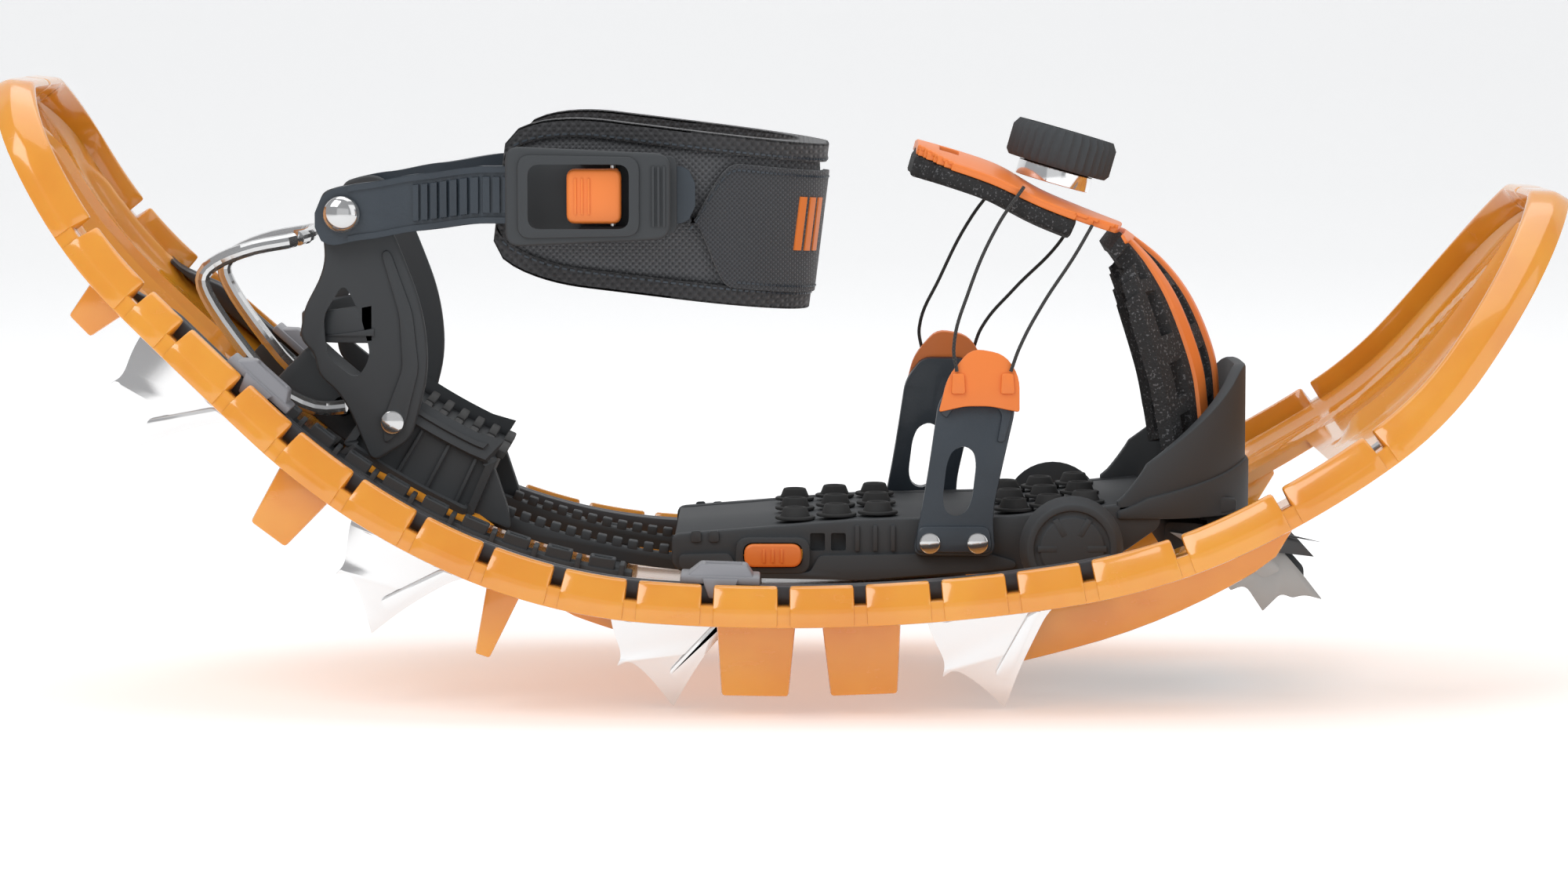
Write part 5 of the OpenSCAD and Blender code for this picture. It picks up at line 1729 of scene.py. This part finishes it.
    def tab(self) -> bpy.types.Object:
        """The orange release tab in the lever's window."""
        x, y, z = self.buckle_x, self.base_y, self.loop_z
        face = plate("face", rounded([(x + 0.018, z - 0.009), (x + 0.036, z - 0.009), (x + 0.036, z + 0.009),
                                      (x + 0.018, z + 0.009)], 0.003), -y - 0.0115, -y - 0.0068, 0.0012, 3)
        lines = [plate("line", [(x + 0.0205 + k * 0.0022, z - 0.006), (x + 0.0213 + k * 0.0022, z - 0.006),
                                (x + 0.0213 + k * 0.0022, z + 0.006), (x + 0.0205 + k * 0.0022, z + 0.006)],
                       -y - 0.0120, -y - 0.0105, 0.0002) for k in range(3)]
        foot = block("foot", (x + 0.031, -y - 0.0072, z - 0.009), (x + 0.035, -y - 0.0037, z + 0.009), 0.0007)
        return joined("release_button", [face, *lines, foot])

    def loop_path(self, out: float) -> list[tuple[float, float]]:
        """The loop in plan, that far inside the pad's outer face."""
        radius, half = 0.044 - out, self.pad_out - out
        front = self.pad_end - out
        points = [(self.pad_start + (front - radius - self.pad_start) * k / 16, -half) for k in range(16)]
        for k in range(21):
            a = math.pi / 2 * k / 20
            points.append((front - radius + radius * math.sin(a), -half + radius * (1 - math.cos(a))))
        points.append((front, 0.0))
        return points + [(x, -y) for x, y in reversed(points[:-1])]

    def girth(self, share: float) -> float:
        """Half the loop's height at a share along it, with both ends rounded off."""
        reach = min(share, 1 - share) / 0.11
        return self.pad_high / 2 * (0.58 + 0.42 * math.sqrt(1 - max(0.0, 1 - reach) ** 2))

    def lean(self, piece: bpy.types.Object) -> bpy.types.Object:
        """Tilts a piece of the loop down towards the toe."""
        at = Matrix.Translation((self.buckle_x, 0, self.loop_z))
        piece.data.transform(at @ Matrix.Rotation(self.pad_tilt, 4, "Y") @ at.inverted())
        return piece

    def wrap(self, name: str, share0: float, share1: float, outer: float, inner: float,
             level: Callable[[float, float], float], cuts: int = 76, rows: int = 0) -> bpy.types.Object:
        """A piece bent around the loop.

        Args:
            name: The piece's name.
            share0: Where it starts along the loop, from 0 to 1.
            share1: Where it ends.
            outer: Depth of its outer face inside the pad's outer face.
            inner: Depth of its inner face.
            level: Height of a point, from its share along the loop and its share of the height.
            cuts: Cuts along the loop.
            rows: Cuts across the height.

        Returns:
            The piece before the loop's tilt.
        """
        piece = block(name, (0, 0, 0), (1, 1, 1), 0.0, cuts)
        bpy.ops.object.mode_set(mode="EDIT")
        for row in range(1, rows + 1):
            bpy.ops.mesh.select_all(action="SELECT")
            bpy.ops.mesh.bisect(plane_co=(0, 0, row / (rows + 1)), plane_no=(0, 0, 1))
        bpy.ops.object.mode_set(mode="OBJECT")
        paths = {0: self.loop_path(outer), 1: self.loop_path(inner)}

        def lay(p: Vector) -> Point:
            """Lays a point in its place."""
            share = share0 + (share1 - share0) * p.x
            path = paths[1 if p.y > 0.5 else 0]
            spot = share * (len(path) - 1)
            k = min(int(spot), len(path) - 2)
            t = spot - k
            x = path[k][0] + (path[k + 1][0] - path[k][0]) * t
            y = path[k][1] + (path[k + 1][1] - path[k][1]) * t
            return x, y, self.loop_z + level(share, p.z)

        shape(piece, lay)
        outward(piece)
        return piece

    def pad(self) -> bpy.types.Object:
        """The padded loop, swollen like a sewn cushion."""
        piece = self.wrap("instep_cushion", 0.0, 1.0, 0.0018, self.pad_thick - 0.0018,
                          lambda share, v: (self.girth(share) - 0.002) * (2 * v - 1), 76, 8)
        bevel(piece, 0.0028, 3, 60)
        modify(piece, "REMESH", mode="VOXEL", voxel_size=0.0042)
        rest = [vertex.co.copy() for vertex in piece.data.vertices]
        self.swell(piece)
        cap = 0.0032
        for vertex, old in zip(piece.data.vertices, rest):
            move = vertex.co - old
            if move.length > cap:
                vertex.co = old + move * (cap / move.length)
        modify(piece, "SMOOTH", factor=0.5, iterations=3)
        modify(piece, "SUBSURF", levels=1, render_levels=1)
        return self.lean(piece)

    @staticmethod
    def swell(piece: bpy.types.Object) -> None:
        """Runs a short cloth simulation with pressure and bakes its result into the mesh."""
        select_only(piece)
        cloth = piece.modifiers.new("cloth", "CLOTH")
        cloth.settings.use_pressure = True
        cloth.settings.uniform_pressure_force = 4.0
        cloth.settings.quality = 5
        cloth.settings.tension_stiffness = 12
        cloth.settings.compression_stiffness = 12
        cloth.settings.bending_stiffness = 2.0
        cloth.settings.effector_weights.gravity = 0
        scene = bpy.context.scene
        scene.frame_start, scene.frame_end = 1, 20
        for step in range(1, 21):
            scene.frame_set(step)
        bpy.ops.object.modifier_apply(modifier="cloth")
        scene.frame_set(1)

    def tape(self) -> bpy.types.Object:
        """The ribbed tape bound over the pad's upper and lower edges and its two ends."""
        parts = []
        for sign in (-1, 1):
            for outer, inner in ((-0.0001, 0.0012), (self.pad_thick - 0.0012, self.pad_thick + 0.0001)):
                parts.append(self.wrap("tape", 0.0, 1.0, outer, inner, lambda share, v: sign * (
                    self.girth(share) - 0.0062 + 0.0062 * v)))
            parts.append(self.wrap("tape", 0.0, 1.0, -0.0001, self.pad_thick + 0.0001, lambda share, v: sign * (
                self.girth(share) - 0.0010 + 0.0010 * v)))
        for start in (0.0, 0.985):
            for outer, inner in ((-0.0001, 0.0012), (self.pad_thick - 0.0012, self.pad_thick + 0.0001)):
                parts.append(self.wrap("tape", start, start + 0.015, outer, inner, lambda share, v: (
                    self.girth(share) - 0.0060) * (2 * v - 1), 6))
        piece = joined("loop_binding", parts)
        bevel(piece, 0.0004, 1, 50)
        return self.lean(piece)

    def pocket(self) -> bpy.types.Object:
        """The smoother patch on the near face ahead of the buckle, with a curved rear edge."""
        high = self.pad_high / 2 - 0.0058

        def level(share: float, v: float) -> float:
            """Height between the patch's lower and upper edges."""
            top, low = self.patch_top(share), -high + 0.022 * (1 - rise(share, 0.215, 0.285))
            return low + (top - low) * v

        piece = self.wrap("loop_patch", 0.215, 0.49, -0.0013, 0.0010, level, 40)
        bevel(piece, 0.0005, 1, 50)
        return self.lean(piece)

    def patch_top(self, share: float) -> float:
        """Height of the patch's upper edge."""
        return self.pad_high / 2 - 0.009 - 0.022 * (1 - rise(share, 0.215, 0.285)) ** 2

    def stitches(self) -> bpy.types.Object:
        """Rows of stitches along the tape and the patch's edge."""
        parts = []

        def row(height: Callable[[float], float], first: float, last: float, depth: float, count: int) -> None:
            """Adds one row of stitches."""
            for k in range(count):
                a = first + (last - first) * k / count
                b = a + (last - first) / count * 0.62
                parts.append(self.wrap("stitch", a, b, depth - 0.0003, depth + 0.0004,
                                       lambda share, v: height(share) - 0.00032 + 0.00064 * v, 1))

        row(lambda share: self.girth(share) - 0.0052, 0.01, 0.99, -0.0001, 110)
        row(lambda share: 0.0052 - self.girth(share), 0.01, 0.99, -0.0001, 110)
        row(lambda share: self.patch_top(share) - 0.002, 0.22, 0.48, -0.0013, 40)
        row(lambda share: 0.0078 - self.pad_high / 2, 0.29, 0.48, -0.0013, 28)
        return self.lean(joined("loop_stitches", parts))

    def badge(self) -> bpy.types.Object:
        """Two plain orange bars woven into the near face, ahead of the buckle."""
        bars = [self.wrap("bar", 0.375 + 0.024 * k, 0.390 + 0.024 * k, -0.0018, 0.0004,
                          lambda share, v: -0.008 + 0.018 * v, 3) for k in range(3)]
        return self.lean(joined("loop_bars", bars))

    def build(self) -> None:
        """Models the strap assembly and dresses it."""
        dress(self.strap(118, -1, "near"), FLEX, Body.STRAP, ("ladder_strap",))
        dress(self.strap(92, 1, "far"), FLEX, Body.STRAP, ("far_strap",))
        dress(self.base(), BLACK, Body.STRAP, ("buckle_base",))
        dress(self.lever(), BLACK, Body.LEVER, ("buckle_lever",))
        dress(self.tab(), TRIM, Body.TAB, ("release_tab",))
        pad = dress(self.pad(), WEAVE, Body.STRAP, ("instep_pad",), 60)
        dress(self.tape(), TAPE, Body.STRAP)
        dress(self.pocket(), POCKET, Body.STRAP)
        dress(self.stitches(), FLEX, Body.STRAP)
        dress(self.badge(), TRIM, Body.STRAP)


# ---------------------------------------------------------------- tongue and dial
@dataclass
class Arch:
    """A shield that is curved across, given by stations of crown and edge points from the pivot."""

    stations: tuple[tuple[float, float, float, float], ...]
    half: float

    def at(self, along: float, across: float, off: float) -> Vector:
        """The point at a share along, a share across from -1 to 1, and that far inwards in metres."""
        last = len(self.stations) - 1
        spot = min(max(along, 0.0), 1.0) * last
        k = min(int(spot), last - 1)
        t = spot - k
        rows = [self.stations[min(max(k + d, 0), last)] for d in (-1, 0, 1, 2)]
        crown_x, crown_z, edge_x, edge_z = (
            0.5 * (2 * b + (c - a) * t + (2 * a - 5 * b + 4 * c - d) * t * t + (3 * b - a - 3 * c + d) * t ** 3)
            for a, b, c, d in zip(*rows))
        way = Vector((rows[2][0] - rows[1][0], rows[2][1] - rows[1][1])).normalized()
        bow = across * across
        lean = 1.0 - 0.35 * abs(across) ** 3
        return Vector((PIVOT.x + (crown_x + (edge_x - crown_x) * bow) * MM - way.y * off * lean,
                       across * self.half * (1 - off * 4.0),
                       PIVOT.z + (crown_z + (edge_z - crown_z) * bow) * MM + way.x * off * lean))

    def panel(self, name: str, outline: Callable[[float, float], bool], outer: float, inner: float,
              cuts: tuple[int, int] = (60, 44), round_by: float = 0.0008) -> bpy.types.Object:
        """A panel of the arch without the cells for which the test fails, with a wall."""
        bpy.ops.object.select_all(action="DESELECT")
        bpy.ops.mesh.primitive_grid_add(x_subdivisions=cuts[0], y_subdivisions=cuts[1], size=2, location=(0, 0, 0))
        piece = bpy.context.object
        piece.name = name
        bpy.ops.object.mode_set(mode="EDIT")
        bpy.ops.mesh.select_mode(type="FACE")
        bpy.ops.mesh.select_all(action="DESELECT")
        bpy.ops.object.mode_set(mode="OBJECT")
        for face in piece.data.polygons:
            face.select = not outline((face.center.x + 1) / 2, face.center.y)
        bpy.ops.object.mode_set(mode="EDIT")
        bpy.ops.mesh.delete(type="FACE")
        bpy.ops.mesh.select_all(action="SELECT")
        bpy.ops.mesh.extrude_region_move(TRANSFORM_OT_translate={"value": (0, 0, -1)})
        bpy.ops.object.mode_set(mode="OBJECT")
        shape(piece, lambda p: self.at((p.x + 1) / 2, p.y, outer if p.z > -0.5 else inner))
        outward(piece)
        if round_by:
            bevel(piece, round_by, 2, 60)
        return piece


TONGUE = Arch(((54, 32, 38, 27), (54, 47, 36, 39), (52, 62, 33, 54), (44.5, 80, 26, 77), (34, 93.5, 21, 92),
               (21, 103.5, 17.5, 103)), 0.033)
PLATE = Arch(((20, 105.5, 16, 105), (6, 111, 4, 109), (-8, 117, -9, 114), (-22, 125, -24, 121),
              (-36, 130, -38, 126), (-50, 134, -51, 130)), 0.029)


@dataclass
class Tongue:
    """The orange toe tongue with its ribs over speckled foam, and the top plate."""

    def frame_test(self, along: float, across: float) -> bool:
        """Whether a cell belongs to the orange skeleton: two end bands and four long ribs."""
        side = abs(across)
        if side > self.width_at(along):
            return False
        return along < 0.07 or along > 0.94 or 0.56 < side < 0.70 or 0.12 < side < 0.25

    def foam_test(self, along: float, across: float) -> bool:
        """Whether a cell belongs to the foam, a ladder with a row of windows beside each rib."""
        side = abs(across)
        window = 0.76 < side < 0.90 or 0.33 < side < 0.48
        rung = min(abs(along - spot) for spot in (0.02, 0.25, 0.48, 0.71, 0.96)) < 0.04
        return side < self.width_at(along) and (rung or not window)

    @staticmethod
    def width_at(along: float) -> float:
        """Half the tongue's width as a share, at a share along it."""
        return 1.0 - 0.15 * rise(along, 0.6, 1.0)

    def build(self) -> None:
        """Models the tongue and the plate and dresses them."""
        shell = TONGUE.panel("tongue_frame", self.frame_test, 0.0, 0.0025)
        dress(shell, TRIM, Body.TONGUE, ("tongue_shell",), 50)
        foam = TONGUE.panel("tongue_lining", self.foam_test, 0.0014, 0.0090, (50, 60), 0.0009)
        dress(foam, FOAM, Body.TONGUE, ("tongue_foam",), 50)
        plate_shell = PLATE.panel("top_shield", self.plate_test, 0.0, 0.0030)
        rims = PLATE.panel("top_rim", lambda a, c: self.outline(a, c) and not self.outline(
            0.5 + (a - 0.5) * 1.09, c * 1.1), -0.0009, 0.0010, (80, 60), 0.0004)
        dress(joined("top_shield_body", [plate_shell, rims]), TRIM, Body.TONGUE, ("top_plate",), 50)
        lining = PLATE.panel("top_lining", lambda a, c: a > 0.2 and self.outline(0.5 + (a - 0.5) * 0.99, c * 0.99),
                             0.0032, 0.0115, (34, 24), 0.0016)
        dress(lining, FOAM, Body.TONGUE, ("top_foam",), 50)

    @staticmethod
    def outline(along: float, across: float) -> bool:
        """Whether a cell is inside the plate's rounded outline."""
        wide = 0.88 + 0.12 * rise(along, 0.0, 0.3) - 0.30 * rise(along, 0.72, 1.0) ** 2
        return abs(across) < wide

    def plate_test(self, along: float, across: float) -> bool:
        """Whether a cell belongs to the plate, which has two small windows behind the dial."""
        window = 0.80 < along < 0.88 and 0.15 < abs(across) < 0.5
        return self.outline(along, across) and not window


@dataclass
class Dial:
    """The lacing dial: a bright spindle and a knurled black knob."""

    radius: float = 0.01825
    height: float = 0.013
    lift: float = 0.0073
    teeth: int = 36

    def frame(self) -> Matrix:
        """The dial's placing matrix."""
        return Matrix.Translation((PIVOT.x - 0.0045, 0, PIVOT.z + 0.1175)) @ Matrix.Rotation(math.radians(16), 4, "Y")

    def knob(self) -> bpy.types.Object:
        """The knob, with ridges around it and a dished top."""
        drum = disc("drum", self.radius, self.height, Matrix.Identity(4), self.teeth * 4)
        bpy.ops.object.mode_set(mode="EDIT")
        for z in (0.0016, 0.0105):
            bpy.ops.mesh.select_all(action="SELECT")
            bpy.ops.mesh.bisect(plane_co=(0, 0, z), plane_no=(0, 0, 1))
        bpy.ops.object.mode_set(mode="OBJECT")
        recess(drum, lambda c, n: n.z > 0.9, 0.0024, 0.0009)
        recess(drum, lambda c, n: n.z > 0.9 and math.hypot(c.x, c.y) < 0.005, 0.0060, -0.0006)
        recess(drum, lambda c, n: n.z < -0.9, 0.006, 0.0035)

        def knurl(p: Vector) -> Point:
            """Adds the ridges and rounds both ends."""
            reach = math.hypot(p.x, p.y)
            if reach < self.radius - 0.0005:
                return p
            a = math.atan2(p.y, p.x)
            dip = 0.0007 * (0.5 + 0.5 * math.cos(a * self.teeth)) ** 0.5
            if p.z < 0.001:
                dip += 0.0012
            if p.z > 0.0125:
                dip += 0.0016
            share = (reach - dip) / reach
            return p.x * share, p.y * share, p.z

        shape(drum, knurl)
        drum.data.transform(self.frame() @ Matrix.Translation((0, 0, self.lift)))
        return drum

    def spindle(self) -> bpy.types.Object:
        """The bright stepped spindle below the knob."""
        foot = disc("foot", 0.013, 0.0052, Matrix.Translation((0, 0, 0.0017)), 64)
        recess(foot, lambda c, n: n.z > 0.9, 0.0016, -0.0004)
        bevel(foot, 0.0007, 3, 40)
        stem = disc("stem", 0.0040, 0.0096, Matrix.Translation((0, 0, 0.0066)), 32, 0.0005)
        piece = joined("spindle", [foot, stem])
        piece.data.transform(self.frame())
        return piece

    def build(self) -> None:
        """Models the dial and dresses it."""
        dress(self.spindle(), CHROME, Body.SPINDLE, ("dial_spindle",), 40)
        dress(self.knob(), BLACK, Body.KNOB, ("dial_knob",), 38)


@dataclass
class Laces:
    """The lace runs from the top plate down to the wings."""

    diameter: float = 0.0012
    runs: dict[str, tuple[Point, ...]] = field(default_factory=lambda: {
        "lace_near_rear": ((-15, -30, 119), (-24, -33, 106), (-34, -40, 84), (-39, -45.6, 66), (-38, -46.8, 58)),
        "lace_near_front": ((8, -30, 106), (2, -33, 96), (-9, -39, 80), (-17, -45.6, 66), (-20, -46.8, 58)),
        "lace_far_rear": ((-20, 30, 119), (-30, 33, 106), (-41, 40, 84), (-48, 45.6, 66), (-47, 46.8, 58)),
        "lace_far_front": ((6, 30, 106), (0, 33, 96), (-15, 39, 80), (-26, 45.6, 66), (-29, 46.8, 58))})

    def build(self) -> None:
        """Models each run as a cord between its two anchors."""
        for name, run in self.runs.items():
            points = [PIVOT + Vector(p) * MM for p in run]
            piece = wire(name + "_cord", points, self.diameter / 2)
            piece.data.materials.append(CORD.material())
            smooth(piece)
            tuple(points[0])
            tuple(points[-1])
            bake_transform(piece)
            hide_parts(name)
            tuple(points[0])
            sum((b - a).length for a, b in zip(points, points[1:]))
            [tuple(p) for p in points]


def dress_cad() -> None:
    """Gives the CAD nodes that stay as they are a better finish."""
    for name, finish in (("lift_bail", WIRE), ("pivot_pins", WIRE), ("lever_pin", WIRE), ("tab_pin", WIRE)):
        node = bpy.data.objects.get(name)
        if node is not None:
            node.data.materials.clear()
            node.data.materials.append(finish.material())


@dataclass(frozen=True)
class Lamp:
    """A square area light that faces the object."""

    name: str
    spot: Point
    size: float
    watts: float

    def build(self) -> None:
        """Adds the light."""
        data = bpy.data.lights.new(self.name, "AREA")
        data.energy, data.size = self.watts, self.size
        lamp = bpy.data.objects.new(self.name, data)
        bpy.context.scene.collection.objects.link(lamp)
        lamp.location = self.spot
        lamp.rotation_euler = (Vector((0, 0, 0.08)) - Vector(self.spot)).to_track_quat("-Z", "Y").to_euler()


@dataclass(frozen=True)
class Studio:
    """Camera, lights and a plain pale ground."""

    target: Vector = field(default_factory=lambda: Vector((0.0, 0.0, 0.0835)))
    distance: float = 1.65
    elevation: float = math.radians(5.5)
    lens: float = 110
    lamps: tuple[Lamp, ...] = (
        Lamp("key", (-0.9, -1.1, 1.5), 1.1, 15), Lamp("fill", (1.3, -0.9, 0.7), 1.4, 6),
        Lamp("top", (0.1, 0.3, 1.7), 1.6, 11), Lamp("low", (0.0, -1.5, 0.12), 1.2, 1.5))

    def build(self) -> None:
        """Places the camera, the lamps and the ground."""
        spot = self.target + Vector((0, -self.distance * math.cos(self.elevation),
                                     self.distance * math.sin(self.elevation)))
        data = bpy.data.cameras.new("view")
        data.lens, data.sensor_width, data.clip_start = self.lens, 36, 0.05
        camera = bpy.data.objects.new("view", data)
        bpy.context.scene.collection.objects.link(camera)
        camera.location = spot
        camera.rotation_euler = (self.target - spot).to_track_quat("-Z", "Y").to_euler()
        bpy.context.scene.camera = camera
        for lamp in self.lamps:
            lamp.build()
        self.ground()

    @staticmethod
    def ground() -> None:
        """A pale sweep: a floor that curves up far behind the object, and a pale sky."""
        bpy.ops.object.select_all(action="DESELECT")
        bpy.ops.mesh.primitive_grid_add(x_subdivisions=2, y_subdivisions=60, size=2, location=(0, 0, 0))
        floor = bpy.context.object
        floor.name = "studio_sweep"

        def sweep(p: Vector) -> Point:
            """Curves the floor up behind."""
            y = (p.y + 0.4) * 7
            turn = 1.2
            ahead = y - 2.2
            if ahead < 0:
                return p.x * 9, y, -0.0008
            bend = min(ahead / turn, math.pi / 2)
            extra = max(ahead - turn * math.pi / 2, 0)
            return p.x * 9, 2.2 + turn * math.sin(bend), -0.0008 + turn * (1 - math.cos(bend)) + extra

        shape(floor, sweep)
        graph = Graph("studio_paper")
        graph.feed("Base Color", (0.86, 0.86, 0.86))
        graph.feed("Roughness", 0.9 + graph.noise(3.0) * 0.05)
        graph.feed("Emission Color", (1.0, 1.0, 1.0))
        graph.feed("Emission Strength", 0.33)
        floor.data.materials.append(graph.material)
        smooth(floor)
        world = bpy.data.worlds.new("studio_sky")
        world.use_nodes = True
        world.node_tree.nodes["Background"].inputs[0].default_value = (0.95, 0.97, 1.0, 1)
        world.node_tree.nodes["Background"].inputs[1].default_value = 0.42
        bpy.context.scene.world = world
        bpy.context.scene.view_settings.view_transform = "Standard"


def main() -> None:
    """Builds everything in order."""
    logging.basicConfig(level=logging.INFO, format="%(message)s")
    Studio().build()
    Deck().build()
    for part in (Blades, Nose, Hubs, ToePlate, ToeCup, Wings, Claw, HeelBlock, HeelCup, InstepStrap, Tongue, Dial,
                 Laces):
        part().build()
    dress_cad()
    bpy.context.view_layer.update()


if __name__ == "__main__":
    main()
